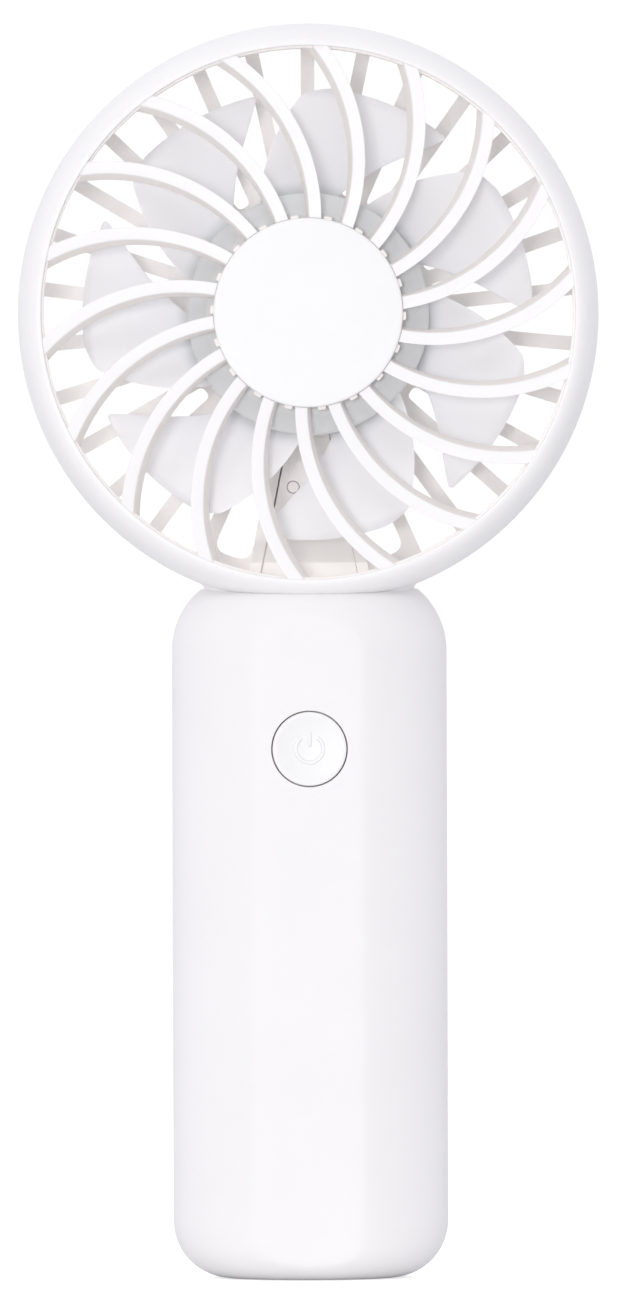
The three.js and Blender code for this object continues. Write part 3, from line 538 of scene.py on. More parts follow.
def plastic(name, colour, roughness, texture=1400, spot=0.012, glow=0.0):
    """Moulded plastic: spark-eroded micro texture, faint flow mottling and uneven gloss."""
    mat, bsdf, tree = shader(name)
    flow = grain(tree, FLOW_SCALE, 4)
    dark = tuple(c * (1 - spot) for c in colour)
    light = tuple(min(c * (1 + spot * 0.5), 1) for c in colour)
    tree.links.new(tinted(tree, flow, dark, light), bsdf.inputs["Base Color"])
    fine = grain(tree, texture, 2)
    tree.links.new(spread(tree, fine, roughness - 0.05, roughness + 0.05), bsdf.inputs["Roughness"])
    bumped(tree, bsdf, fine, 0.6, PLASTIC_RELIEF)
    with_values(bsdf, {"IOR": 1.5, "Subsurface Weight": glow, "Subsurface Radius": (1.0, 0.9, 0.85),
                       "Subsurface Scale": 0.8 * MM})
    return mat


def metal(name, colour, roughness):
    """Plated or drawn metal with fine uneven polish."""
    mat, bsdf, tree = shader(name)
    fine = grain(tree, METAL_GRAIN, 4, 0.65)
    dark = tuple(c * 0.86 for c in colour)
    tree.links.new(tinted(tree, fine, dark, colour), bsdf.inputs["Base Color"])
    tree.links.new(spread(tree, fine, roughness - 0.08, roughness + 0.1), bsdf.inputs["Roughness"])
    bumped(tree, bsdf, fine, 0.5, METAL_RELIEF)
    bsdf.inputs["Metallic"].default_value = 1
    return mat


def stepped(tree, value, low, high):
    """A smooth step from 0 at low to 1 at high."""
    return ranged(tree, value, (low * MM, high * MM), smooth=True)


def from_axis(tree, axis_z=HEAD_Z):
    """Object-space place relative to the fan head's axis or another axis along Y."""
    coord = tree.nodes.new("ShaderNodeTexCoord")
    return vector_step(tree, coord.outputs["Object"], "SUBTRACT", (0, 0, axis_z * MM))


def head_radius(tree, axis_z=HEAD_Z):
    """Distance from the fan head's axis, or another along Y, and depth, in object space."""
    offset = from_axis(tree, axis_z)
    split = tree.nodes.new("ShaderNodeSeparateXYZ")
    tree.links.new(offset, split.inputs[0])
    flat = vector_step(tree, offset, "MULTIPLY", (1, 0, 1))
    return vector_step(tree, flat, "LENGTH"), split.outputs["Y"]


def overlaid(mat, factor, colour):
    """Blends a colour over the material's own by a factor."""
    tree = mat.node_tree
    bsdf = tree.nodes["Principled BSDF"]
    own = bsdf.inputs["Base Color"].links[0].from_socket
    mix = tree.nodes.new("ShaderNodeMix")
    mix.data_type = "RGBA"
    mix.inputs["B"].default_value = (*colour, 1)
    tree.links.new(factor, mix.inputs["Factor"])
    tree.links.new(own, mix.inputs["A"])
    tree.links.new(mix.outputs["Result"], bsdf.inputs["Base Color"])


def painted_glow(mat, strength, near=None):
    """Painted light: the surface glows in its own colour as if lit through thin walls from the bright
    backdrop, more where near is 1.
    """
    tree = mat.node_tree
    bsdf = tree.nodes["Principled BSDF"]
    tree.links.new(bsdf.inputs["Base Color"].links[0].from_socket, bsdf.inputs["Emission Color"])
    bsdf.inputs["Emission Strength"].default_value = strength
    if near:
        lift = ranged(tree, near, (0, 1), (strength, strength + RIM_PAINTED_GLOW))
        tree.links.new(lift, bsdf.inputs["Emission Strength"])


def product(tree, first, second):
    """Two factors multiplied."""
    both = tree.nodes.new("ShaderNodeMath")
    both.operation = "MULTIPLY"
    tree.links.new(first, both.inputs[0])
    tree.links.new(second, both.inputs[1])
    return both.outputs[0]


def paint_button_gap_shade(mat):
    """Paints shade onto the walls of the narrow gap around the button."""
    tree = mat.node_tree
    radius, depth = head_radius(tree, BUTTON_Z)
    around = product(tree, stepped(tree, radius, BUTTON_R - 0.06, BUTTON_R - 0.03),
                     stepped(tree, radius, BUTTON_FLANGE_R + 0.5, BUTTON_FLANGE_R))
    inner = LAND_Y + HANDLE_WALL
    deep = product(tree, stepped(tree, depth, LAND_Y + 0.16, LAND_Y + 0.3),
                   stepped(tree, depth, inner + 0.3, inner))
    overlaid(mat, product(tree, around, deep), GAP_PAINTED_SHADE)
    return mat


def impeller_material():
    """Moulded plastic with painted shade that deepens it to a cooler grey on the hub, and a faint painted
    glow.
    """
    mat = plastic("impeller_grey", BLADE_GREY, 0.4, glow=0.12)
    tree = mat.node_tree
    radius, _ = head_radius(tree)
    # painted shade: the hub is darkened to a cooler grey
    overlaid(mat, stepped(tree, radius, IMPELLER_HUB_R + 2.5, IMPELLER_HUB_R - 0.4), HUB_PAINTED_SHADE)
    painted_glow(mat, IMPELLER_PAINTED_GLOW)
    return mat


def rear_material():
    """Warm white plastic with a painted glow, strongest near the rim at the lower left."""
    mat = plastic("rear_white", REAR_WHITE, 0.5, glow=0.12)
    tree = mat.node_tree
    radius, _ = head_radius(tree)
    # painted glow: raised near the rim towards the lower left
    toward = vector_step(tree, from_axis(tree), "DOT_PRODUCT", (-0.7, 0, -0.7))
    low_left = stepped(tree, toward, 0, 30)
    near_rim = stepped(tree, radius, 36.5, 40.5)
    painted_glow(mat, REAR_PAINTED_GLOW, product(tree, near_rim, low_left))
    return mat


def grille_material():
    """White plastic, with painted warm shade down the sides of the vanes."""
    mat = plastic("grille_white", WHITE, 0.42, glow=0.12)
    tree = mat.node_tree
    radius, depth = head_radius(tree)
    # painted shade: surfaces behind the vanes' front faces, inside the opening
    inside = stepped(tree, radius, OPENING_R + 0.4, OPENING_R - 0.4)
    deep = stepped(tree, depth, VANE_FRONT_Y + 0.15, VANE_FRONT_Y + 0.6)
    overlaid(mat, product(tree, inside, deep), VANE_SIDE_PAINTED_SHADE)
    return mat


def board_material():
    """Green solder mask with faint copper tracks under it."""
    mat, bsdf, tree = shader("board_green")
    coord = tree.nodes.new("ShaderNodeTexCoord")
    brick = tree.nodes.new("ShaderNodeTexBrick")
    with_values(brick, {"Scale": 260, "Mortar Size": 0.03, "Color1": (0.012, 0.11, 0.05, 1),
                        "Color2": (0.016, 0.15, 0.07, 1), "Mortar": (0.05, 0.24, 0.12, 1)})
    tree.links.new(coord.outputs["Object"], brick.inputs["Vector"])
    tree.links.new(brick.outputs["Color"], bsdf.inputs["Base Color"])
    fine = grain(tree, 700)
    tree.links.new(spread(tree, fine, 0.3, 0.45), bsdf.inputs["Roughness"])
    return mat


MATERIALS = {
    "grille_white": grille_material(),
    "cap_white": plastic("cap_white", CAP_WHITE, 0.45, glow=0.08),
    "rear_white": rear_material(),
    "impeller_grey": impeller_material(),
    "handle_white": paint_button_gap_shade(plastic("handle_white", HANDLE_WHITE, 0.5, texture=1900)),
    "button_white": paint_button_gap_shade(plastic("button_white", BUTTON_WHITE, 0.4)),
    "dark_plastic": plastic("dark_plastic", (0.03, 0.03, 0.033), 0.5, spot=0.2),
    "cell_wrap": plastic("cell_wrap", (0.07, 0.22, 0.45), 0.3, texture=300, spot=0.1),
    "wire_red": plastic("wire_red", (0.45, 0.02, 0.018), 0.45, texture=900, spot=0.08),
    "wire_black": plastic("wire_black", (0.015, 0.015, 0.017), 0.45, texture=900, spot=0.2),
    "ferrite": plastic("ferrite", (0.06, 0.06, 0.065), 0.8, texture=1200, spot=0.25),
    "motor_steel": metal("motor_steel", (0.62, 0.62, 0.64), 0.32),
    "shaft_steel": metal("shaft_steel", (0.72, 0.72, 0.74), 0.2),
    "screw_steel": metal("screw_steel", (0.42, 0.42, 0.44), 0.38),
    "socket_steel": metal("socket_steel", (0.66, 0.66, 0.68), 0.3),
    "nickel": metal("nickel", (0.7, 0.68, 0.63), 0.35),
    "sintered_brass": metal("sintered_brass", (0.6, 0.43, 0.2), 0.5),
    "board_green": board_material(),
}


def place(obj, body, slot_name, *nodes):
    """Finishes a piece: its material, body, material slot and the CAD nodes it stands for."""
    obj.data.materials.clear()
    obj.data.materials.append(MATERIALS[slot_name])
    normals = obj.modifiers.new("normals", "WEIGHTED_NORMAL")
    normals.keep_sharp = True
    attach(obj, body)
    if nodes:
        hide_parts(*nodes)
    return obj


# ---- fan head ------------------------------------------------------------

def rim_round(offset=0.0, steps=18):
    """The rim's rounded front, from its inner edge out to its full radius."""
    inner = OPENING_R + RIM_LAND
    points = []
    for i in range(steps + 1):
        t = math.radians(90) * i / steps
        r = inner + (HEAD_R - inner + offset) * math.sin(t)
        points.append((r, RIM_ROUND_Y + (HEAD_FRONT_Y - RIM_ROUND_Y - offset) * math.cos(t)))
    return points


def front_rim():
    """The turned rim, with its inner ledge and the seat of the rear cup's lip."""
    seat = SPLIT_Y - SEAM / 2
    corners = [(LEDGE_R + LEDGE_DRAFT, seat - LIP_DEPTH), (LEDGE_R, LEDGE_Y), (OPENING_R, LEDGE_Y),
               (OPENING_R, HEAD_FRONT_Y), (OPENING_R + RIM_LAND, HEAD_FRONT_Y)]
    edge = filleted(corners, [0, 0.15, 0.06, 0.4, 0])[:-1]
    joint = [(HEAD_R, seat - SEAM_CHAMFER_Y), (HEAD_R - SEAM_CHAMFER_R, seat), (LIP_R + SEAM, seat),
             (LIP_R + SEAM, seat - LIP_DEPTH)]
    return lathe("front_rim", edge + rim_round() + joint, 240)


def vane():
    """One curved front vane: a rounded bar swept along an arc and leaning with depth."""
    start = Vector(polar(VANE_START_R, VANE_ROOT_ANGLE))
    end = Vector(polar(VANE_END_R, VANE_ROOT_ANGLE + VANE_SWEEP))
    chord = end - start
    reach = math.sqrt(VANE_ARC_R ** 2 - chord.length_squared / 4)
    centre = (start + end) / 2 + Vector((-chord.y, chord.x)).normalized() * reach
    first = math.atan2(start.y - centre.y, start.x - centre.x)
    last = math.atan2(end.y - centre.y, end.x - centre.x)
    half = VANE_WIDTH / 2
    corners = [(half, VANE_FRONT_Y), (half, VANE_BACK_Y), (-half, VANE_BACK_Y), (-half, VANE_FRONT_Y + 0.12)]
    section = filleted(corners, [0.16, 0.5, 0.5, 0.22], 4)
    rings = []
    steps = 36
    for k in range(steps + 1):
        t = first + (last - first) * k / steps
        ring = []
        for off, y in section:
            x = centre.x + (VANE_ARC_R + off) * math.cos(t)
            z = centre.y + (VANE_ARC_R + off) * math.sin(t)
            lean = math.radians(VANE_LEAN) * (y - VANE_FRONT_Y)
            c, s = math.cos(lean), math.sin(lean)
            ring.append((x * c - z * s, y, HEAD_Z + x * s + z * c))
        rings.append(ring)
    return skin("vane", rings)


def teeth():
    """The small teeth on the hub ring, just outside the cap."""
    half = TOOTH_WIDTH / 2
    corners = [(TOOTH_ROOT_R, -half), (TOOTH_R, -half), (TOOTH_R, half), (TOOTH_ROOT_R, half)]
    upright = slab("tooth", filleted(corners, [0, 0.25, 0.25, 0], 3), CAP_HI.y - TOOTH_DEPTH, VANE_BACK_Y)
    tooth = turned_copy(upright, TOOTH_ANGLE)
    bpy.data.objects.remove(upright)
    return repeated(tooth, VANE_COUNT)


def front_grille():
    """Rim, vanes, hub ring with its teeth, and the front half of the neck."""
    hub = lathe("hub_ring", [(0, CAP_BACK_Y), (HUB_RING_R, CAP_BACK_Y), (HUB_RING_R, VANE_BACK_Y),
                             (0, VANE_BACK_Y)], 120)
    rim = front_rim()
    vanes = repeated(vane(), VANE_COUNT)
    rim_space = lathe("rim_space", [(0, AHEAD_Y), (OPENING_R + 1, AHEAD_Y), (OPENING_R + 1, 0), (0, 0)], 240)
    combine(vanes, [rim_space], "INTERSECT")
    cap_seat = lathe("cap_seat", [(0, AHEAD_Y), (CAP_R + CAP_CLEARANCE, AHEAD_Y),
                                  (CAP_R + CAP_CLEARANCE, CAP_SEAT_Y), (0, CAP_SEAT_Y)], 160)
    cut(vanes, cap_seat)
    join(hub, teeth())
    join(vanes, hub)
    join(rim, vanes)
    neck = neck_whole("neck_front")
    seat = SPLIT_Y - SEAM / 2
    below_rim = lathe("below_rim", [(NECK_INNER_R, -20), (90, -20), (90, seat), (NECK_INNER_R, seat)], 240)
    combine(neck, [below_rim], "INTERSECT")
    join(rim, neck)
    rim.name = "guard_front"
    return place(rim, "housing", "grille_white", "front_grille")


def hub_cap():
    """The cap over the hub ring, very slightly domed."""
    brow = (CAP_R - CAP_EDGE, HEAD_FRONT_Y + 0.12)
    face = [(0, HEAD_FRONT_Y + 0.02), (CAP_R * 0.6, HEAD_FRONT_Y + 0.04), brow]
    edge = filleted([brow, (CAP_R, HEAD_FRONT_Y + 0.16), (CAP_R, CAP_BACK_Y)], [0, 0.5, 0], 8)[1:]
    cap = lathe("cap_disc", face + edge + [(0, CAP_BACK_Y)], 180)
    return place(cap, "housing", "cap_white", "hub_cap")


def channel_half(drop):
    """Half-width of the wire channel at a distance below the head's axis."""
    t = (drop - CHANNEL_TOP_R) / (CHANNEL_END_R - CHANNEL_TOP_R)
    return CHANNEL_HALF_TOP + t * (CHANNEL_HALF_END - CHANNEL_HALF_TOP)


def channel_outline(top_r, end_r, grow):
    """The tapered channel below the head's axis, grown sideways."""
    return [(-channel_half(top_r) - grow, -top_r), (-channel_half(end_r) - grow, -end_r),
            (channel_half(end_r) + grow, -end_r), (channel_half(top_r) + grow, -top_r)]


def cup_round(wall, steps=20):
    """The rear cup's rounding from side wall to flat back."""
    radius = BACK_ROUND_R - wall
    centre_r, centre_y = HEAD_R - BACK_ROUND_R, HEAD_BACK_Y - BACK_ROUND_R
    return [(centre_r + radius * math.cos(math.radians(90) * i / steps),
             centre_y + radius * math.sin(math.radians(90) * i / steps)) for i in range(steps + 1)]


def slot_outline(index):
    """One window between two spokes, with rounded ends."""
    pitch = 360 / SPOKE_COUNT
    middle = 90 + pitch * (index + 0.5)
    beside_arm = abs(middle - 270) < 20
    end = SHORT_SLOT_END_R if beside_arm else SLOT_END_R

    def corner(r, side):
        half = pitch / 2 - math.degrees(math.asin(SPOKE_WIDTH / 2 / r))
        return polar(r, middle + side * half)

    corners = [corner(REAR_DISC_R, -1), corner(end, -1), corner(end, 1), corner(REAR_DISC_R, 1)]
    outer = SHORT_SLOT_ROUND if beside_arm else SLOT_OUTER_ROUND
    return filleted(corners, [SLOT_INNER_ROUND, outer, outer, SLOT_INNER_ROUND], 6)


def oval_point(half_w, half_d, turn):
    """A point of the soft oval that the handle and neck share, in plan."""
    power = 2 / OVAL_POWER
    c, s = math.cos(turn), math.sin(turn)
    return half_w * math.copysign(abs(c) ** power, c), half_d * math.copysign(abs(s) ** power, s)


def oval(half_w, half_d, centre_y=0.0, around=96):
    points = [oval_point(half_w, half_d, 2 * math.pi * k / around) for k in range(around)]
    return [(x, centre_y + y) for x, y in points]


def ramp_line(shift):
    """Side view of the channel's front, shifted in depth: flat, ramping to a knee, then steep to the rim."""
    line = [(COVER_FRONT_Y, 0), (COVER_FRONT_Y, CHANNEL_RAMP_R), (COVER_KNEE_FRONT_Y, CHANNEL_KNEE_R),
            (COVER_END_FRONT_Y, CHANNEL_END_R), (COVER_END_FRONT_Y, HEAD_R)]
    return [(y + shift, HEAD_Z - drop) for y, drop in line]


def neck_whole(name):
    """The neck with its flange, flared where it runs into the rim."""
    levels = [(NECK_BOTTOM_Z, 0), (NECK_FLARE_Z - 1, 0)]
    for k in range(9):
        t = math.radians(NECK_FLARE_TURN) * k / 8
        levels.append((NECK_FLARE_Z + NECK_FLARE_R * math.sin(t), NECK_FLARE_R * (1 - math.cos(t))))
    levels.append((HEAD_Z - 40, levels[-1][1]))
    rings = [[(x, y, z) for x, y in oval(NECK_HALF_W + grow, NECK_HALF_D + grow, NECK_Y, 160)]
             for z, grow in levels]
    flange = column("flange", oval(NECK_HALF_W + NECK_FLANGE, NECK_HALF_D + NECK_FLANGE, NECK_Y),
                    NECK_BOTTOM_Z, NECK_FLANGE_TOP_Z)
    return join(skin(name, rings), flange)


def rear_cup():
    """The turned cup with its lip, rounded back and 30 windows."""
    seat = SPLIT_Y + SEAM / 2
    inner_back = HEAD_BACK_Y - SHELL_WALL
    profile = [(0, HEAD_BACK_Y), (0, inner_back)]
    profile += list(reversed(cup_round(SHELL_WALL)))
    profile += [(HEAD_R - SHELL_WALL, seat + 3.2), (LIP_INNER_R + 0.5, seat + 1.2), (LIP_INNER_R, seat + 0.4)]
    profile += [(LIP_INNER_R, seat - LIP_DEPTH + 0.3), (LIP_INNER_R + 0.2, seat - LIP_DEPTH)]
    profile += [(LIP_R, seat - LIP_DEPTH), (LIP_R, seat), (HEAD_R - SEAM_CHAMFER_R, seat)]
    profile += [(HEAD_R, seat + SEAM_CHAMFER_Y)]
    profile += cup_round(0)
    cup = lathe("rear_cup", profile, 240)
    slots = merged("slots", [slab("slot", slot_outline(i), 0.5, HEAD_BACK_Y + 2) for i in range(SPOKE_COUNT)])
    return cut(cup, slots)


def motor_seat():
    """The tube that holds the motor, with its inside and the slot for the wires as cutters."""
    inner_back = HEAD_BACK_Y - SHELL_WALL
    inner_r = MOTOR_SEAT_R - MOTOR_SEAT_WALL
    tube = lathe("seat_tube", [(inner_r, MOTOR_SEAT_Y), (MOTOR_SEAT_R, MOTOR_SEAT_Y),
                               (MOTOR_SEAT_R, inner_back + 0.5), (inner_r, inner_back + 0.5)], 120)
    wire_slot = block("wire_slot", -WIRE_SLOT_HALF_W, WIRE_SLOT_HALF_W, WIRE_SLOT_Y, inner_back,
                      HEAD_Z - CHANNEL_TOP_R - 1, HEAD_Z - WIRE_SLOT_TOP_R)
    space = lathe("motor_space", [(0, -10), (inner_r, -10), (inner_r, inner_back), (0, inner_back)], 120)
    return tube, wire_slot, space


def channel_arm():
    """The tapered arm from the motor seat to the rim."""
    back = HEAD_BACK_Y + 1
    arm = slab("arm", channel_outline(ARM_TOP_R, ARM_END_R, CHANNEL_WALL), ARM_FRONT_Y, back)
    side = filleted([*ramp_line(0), (back, HEAD_Z - HEAD_R), (back, HEAD_Z)],
                    [0, KNEE_ROUND, RAMP_END_ROUND, 0, 0, 0, 0], 6)
    cup_space = lathe("cup_space", [(0, HEAD_BACK_Y - 0.01), (0, -6), (HEAD_R - 1, -6)]
                      + [(r - 0.01, y - 0.01) for r, y in cup_round(0)], 240)
    combine(arm, [side_slab("arm_side", side)], "INTERSECT")
    return combine(arm, [cup_space], "INTERSECT")


def channel_space():
    """The hollow of the wire channel in the arm."""
    inner_back = HEAD_BACK_Y - SHELL_WALL
    channel = slab("channel", channel_outline(CHANNEL_TOP_R - 0.1, CHANNEL_FLOOR_R, 0), -5, HEAD_BACK_Y)
    depth = [*ramp_line(-1), (9, HEAD_Z - HEAD_R), (9, HEAD_Z - CHANNEL_FLOOR_R),
             (inner_back, HEAD_Z - CHANNEL_RAMP_R + 2), (inner_back, HEAD_Z)]
    return combine(channel, [side_slab("channel_depth", depth)], "INTERSECT")


def cover_peg():
    """The peg that holds the channel's cover."""
    front, back = COVER_FRONT_Y - 0.15, HEAD_BACK_Y - SHELL_WALL + 0.5
    profile = filleted([(0, front), (PEG_R, front), (PEG_R, back), (0, back)], [0, 0.2, 0, 0], 3)
    return moved_x(lathe("peg", profile, 40, HEAD_Z - PEG_DROP), PEG_X)


def back_of_neck():
    """The rear half of the neck, outside the cup."""
    seat = SPLIT_Y + SEAM / 2
    outside = lathe("outside", [(80, seat), (HEAD_R - 1, seat)] + cup_round(1)
                    + [(HEAD_R - BACK_ROUND_R, 40), (80, 40)], 240)
    return combine(neck_whole("neck_back"), [outside], "INTERSECT")


def rear_grille():
    """Cup, motor seat, channel arm, and the rear half of the neck."""
    cup = rear_cup()
    seat_tube, wire_slot, motor_space = motor_seat()
    join(cup, channel_arm())
    cut(cup, channel_space())
    join(cup, seat_tube)
    cut(cup, wire_slot, motor_space)
    join(cup, back_of_neck(), cover_peg())
    cup.name = "guard_rear"
    return place(cup, "housing", "rear_white", "rear_grille")


def channel_cover():
    """The cover of the wire channel, with the peg's hole."""
    sides = channel_outline(CHANNEL_TOP_R, CHANNEL_FLOOR_R - 0.1, -COVER_CLEARANCE)
    outline = [(x + COVER_SHIFT_X, z) for x, z in sides]
    plate = slab("cover_plate", filleted(outline, [0.5, 0, 0, 0.5], 4), -5, HEAD_BACK_Y)
    side = ramp_line(0) + ramp_line(COVER_THICK)[::-1]
    shaped = filleted(side, [0, KNEE_ROUND, RAMP_END_ROUND, 0, 0, 0, 0, RAMP_END_ROUND, 2, 0], 6)
    combine(plate, [side_slab("cover_side", shaped)], "INTERSECT")
    hole_r = PEG_R + PEG_CLEARANCE
    profile = [(0, -5), (hole_r, -5), (hole_r, BEHIND_Y), (0, BEHIND_Y)]
    hole = lathe("peg_hole", profile, 40, HEAD_Z - PEG_DROP)
    cut(plate, moved_x(hole, PEG_X))
    round_edges(plate, COVER_EDGE)
    plate.name = "channel_lid"
    return place(plate, "housing", "rear_white", "wire_channel_cover")


# ---- impeller ------------------------------------------------------------

def blade():
    """One pitched, forward-swept blade with thin rounded edges."""
    root_r = IMPELLER_HUB_R - BLADE_ROOT_SINK
    along, across = 36, 30

    def surface(r, v):
        inward = (BLADE_TIP_R - r) / (BLADE_TIP_R - IMPELLER_HUB_R)
        near_tip = max(0, (r - (BLADE_TIP_R - BLADE_TIP_ROUND)) / BLADE_TIP_ROUND)
        tip_round = LEAD_CORNER_DEG * (1 - math.sqrt(max(0, 1 - near_tip ** 2)))
        lead = BLADE_LEAD_SWEEP * max(inward, 0) ** 1.35 + tip_round
        near_trail = max(0, (r - (BLADE_TIP_R - BLADE_TIP_BLEND)) / BLADE_TIP_BLEND)
        corner = TRAIL_CORNER_DEG * near_trail ** 2.4
        trail = BLADE_TIP_SPAN + BLADE_TRAIL_SWEEP * inward - corner
        angle = BLADE_TIP_ANGLE + lead + (trail - lead) * v
        x, z = polar(r, angle)
        y = BLADE_LEAD_Y + (BLADE_TRAIL_Y - BLADE_LEAD_Y) * v + BLADE_BOW * math.sin(math.pi * v)
        return x, y, z

    rings = []
    for i in range(along + 1):
        r = root_r + (BLADE_TIP_R - root_r) * (1 - (1 - i / along) ** 1.9)
        front, back = [], []
        tip_thin = min(1, (BLADE_TIP_R - r + 0.25) / 0.9)
        for j in range(across + 1):
            v = (1 - math.cos(math.pi * j / across)) / 2
            across_share = BLADE_EDGE + (1 - BLADE_EDGE) * math.sin(math.pi * v) ** 0.45
            half = BLADE_THICK / 2 * across_share * (BLADE_TIP_EDGE + (1 - BLADE_TIP_EDGE) * tip_thin)
            x, y, z = surface(r, v)
            front.append((x, y - half, HEAD_Z + z))
            back.append((x, y + half, HEAD_Z + z))
        rings.append(front + back[::-1])
    return skin("blade", rings, 50)


def impeller():
    """The hub with its shaft boss and the seven blades."""
    r, front = IMPELLER_HUB_R, IMPELLER_FRONT_Y
    face_r, shoulder_r, boss_r, bore_r, wall = 17.6, 19.6, 3.4, 1.05, 1.5
    bore_end, boss_end = front + 2, front + 6.6
    corners = [(0, front), (face_r, front), (shoulder_r, front + 1.1), (r, front + 1.6), (r, IMPELLER_BACK_Y),
               (r - wall, IMPELLER_BACK_Y), (r - wall, front + 2.8), (boss_r, front + 2.2),
               (boss_r, boss_end), (bore_r, boss_end), (bore_r, bore_end), (0, bore_end)]
    radii = [0, 1.6, 1, 0.8, 0.3, 0.3, 0.6, 0.5, 0.2, 0.1, 0, 0]
    hub = lathe("impeller_hub", filleted(corners, radii, 4), 180)
    join(hub, repeated(blade(), BLADE_COUNT))
    hub.name = "fan_rotor"
    return place(hub, "rotor", "impeller_grey", "impeller")


# ---- handle --------------------------------------------------------------

def handle_halves(z, wall):
    """Half-width and half-depth of the handle at a height."""
    def inset(rounding, past):
        r = rounding - wall
        return r - math.sqrt(max(r ** 2 - past ** 2, 0)) if past > 0 else 0
    a = HALF_W - wall - inset(TOP_ROUND_W, z - TOP_ROUND_Z) - inset(BASE_ROUND_W, BASE_ROUND_W - z)
    b = HALF_D - wall - inset(TOP_ROUND_D, z - TOP_ROUND_Z) - inset(BASE_ROUND_D, BASE_ROUND_D - z)
    return a, b


def handle_levels(wall):
    """Heights of the rings with their half-sizes, from base to top."""
    low = wall
    high = TOP_Z - wall if wall else TOP_RIDGE_Z - 0.5
    levels = []
    for k in range(12):
        z = low + (BASE_ROUND_D - low) * (1 - math.cos(math.radians(90) * k / 12))
        levels.append((z, *handle_halves(z, wall)))
    for z in (BASE_ROUND_D, 6.5, 7.6, 8.7, BASE_ROUND_W, 40, 75):
        levels.append((z, *handle_halves(z, wall)))
    for k in range(15):
        z = TOP_ROUND_Z + (high - TOP_ROUND_Z) * k / 14
        levels.append((z, *handle_halves(z, wall)))
    if wall:
        return levels + [levels[-1]] * (RIDGE_STEPS + 2)
    start = handle_halves(high, 0)[1]
    ridge = filleted([(start, high), (TOP_RIDGE_HALF_D, TOP_RIDGE_Z), (TOP_HALF_D, TOP_Z)], [0, 1.2, 0],
                     RIDGE_STEPS)[1:]
    for b, z in ridge:
        levels.append((z, handle_halves(z, 0)[0], b))
    return levels


def handle_arc(a, b, split_y, front, columns=110):
    """Half of the oval from one end of the parting line to the other."""
    lift = (abs(split_y) / b) ** (OVAL_POWER / 2)
    meet = math.asin(min(lift, 1)) * (1 if split_y > 0 else -1)
    start, end = (math.pi - meet, 2 * math.pi + meet) if front else (meet, math.pi - meet)
    return [oval_point(a, b, start + (end - start) * k / columns) for k in range(columns + 1)]


def flattened(y, land):
    """Limits a depth to the flat land, with a soft crease."""
    d = y - land
    return land + (d + math.sqrt(d * d + LAND_SOFTNESS ** 2)) / 2


def shell_half(name, front):
    """One moulded half of the handle, with its wall thickness and a fine chamfer along the parting line."""
    split = SHELL_SPLIT_Y - SEAM / 2 if front else SHELL_SPLIT_Y + SEAM / 2
    grids = []
    for wall in (0, HANDLE_WALL):
        land = LAND_Y + wall + (LAND_SOFTNESS / 2 if wall == 0 else 0)
        rows = []
        for z, a, b in handle_levels(wall):
            row = handle_arc(a, b, split, front)
            if front:
                row = [(x, flattened(y, land)) for x, y in row]
            if wall == 0:
                for end in (0, -1):
                    row[end] = (row[end][0] * (1 - SEAM_CHAMFER_R / a), row[end][1])
            rows.append([(x, y, z) for x, y in row])
        grids.append(rows)
    rows_n, cols_n = len(grids[0]), len(grids[0][0])
    verts = [p for rows in grids for row in rows for p in row]

    def at(side, i, j):
        return side * rows_n * cols_n + i * cols_n + j

    faces = []
    for side in (0, 1):
        for i in range(rows_n - 1):
            for j in range(cols_n - 1):
                faces.append([at(side, i, j), at(side, i, j + 1), at(side, i + 1, j + 1), at(side, i + 1, j)])
        faces.append([at(side, 0, j) for j in range(cols_n)])
        faces.append([at(side, rows_n - 1, j) for j in reversed(range(cols_n))])
    for j in (0, cols_n - 1):
        for i in range(rows_n - 1):
            faces.append([at(0, i, j), at(0, i + 1, j), at(1, i + 1, j), at(1, i, j)])
    for i in (0, rows_n - 1):
        faces.append([at(0, i, 0), at(1, i, 0), at(1, i, cols_n - 1), at(0, i, cols_n - 1)])
    return mesh_object(name, verts, faces)


def head_cradle():
    """The space of the fan head's rim above the handle."""
    gap = 0.02
    profile = [(30, HEAD_FRONT_Y - gap)] + rim_round(gap) + cup_round(-gap) + [(30, HEAD_BACK_Y + gap)]
    return lathe("cradle", profile, 360)


def shell_cuts(obj):
    """Takes the fan head's space and the neck's hole out of a shell."""
    neck = column("neck_hole", oval(NECK_HALF_W + 0.12, NECK_HALF_D + 0.12, NECK_Y, 160), 112, 130)
    return cut(obj, head_cradle(), neck)


def screw_places():
    """Left and right, low and high on the handle's back."""
    return [(x, z) for z in SCREW_Z for x in (-SCREW_X, SCREW_X)]


def round_bar(name, r, y0, y1, x, z):
    """A bar along Y."""
    return moved_x(lathe(name, [(0, y0), (r, y0), (r, y1), (0, y1)], 40, z), x)


def front_shell():
    """The handle's front half, with the button's hole."""
    shell = shell_half("handle_front", True)
    outside_r = BUTTON_HOLE_R + 0.3
    hole = lathe("button_hole", [(0, AHEAD_Y), (outside_r, AHEAD_Y), (outside_r, LAND_Y - 0.02),
                                 (BUTTON_HOLE_R + 0.05, LAND_Y + 0.03), (BUTTON_HOLE_R, LAND_Y + 0.16),
                                 (BUTTON_HOLE_R, -10), (0, -10)], 160, BUTTON_Z)
    shell_cuts(shell)
    cut(shell, hole)
    return place(shell, "housing", "handle_white", "handle_front_shell")


def rounded_slot(half_w, half_h, steps=10):
    """A stadium outline, wider than high."""
    points = []
    for side in (1, -1):
        for k in range(steps + 1):
            t = math.radians(-90 + 180 * k / steps) + (0 if side > 0 else math.pi)
            points.append((side * (half_w - half_h) + half_h * math.cos(t), half_h * math.sin(t)))
    return points


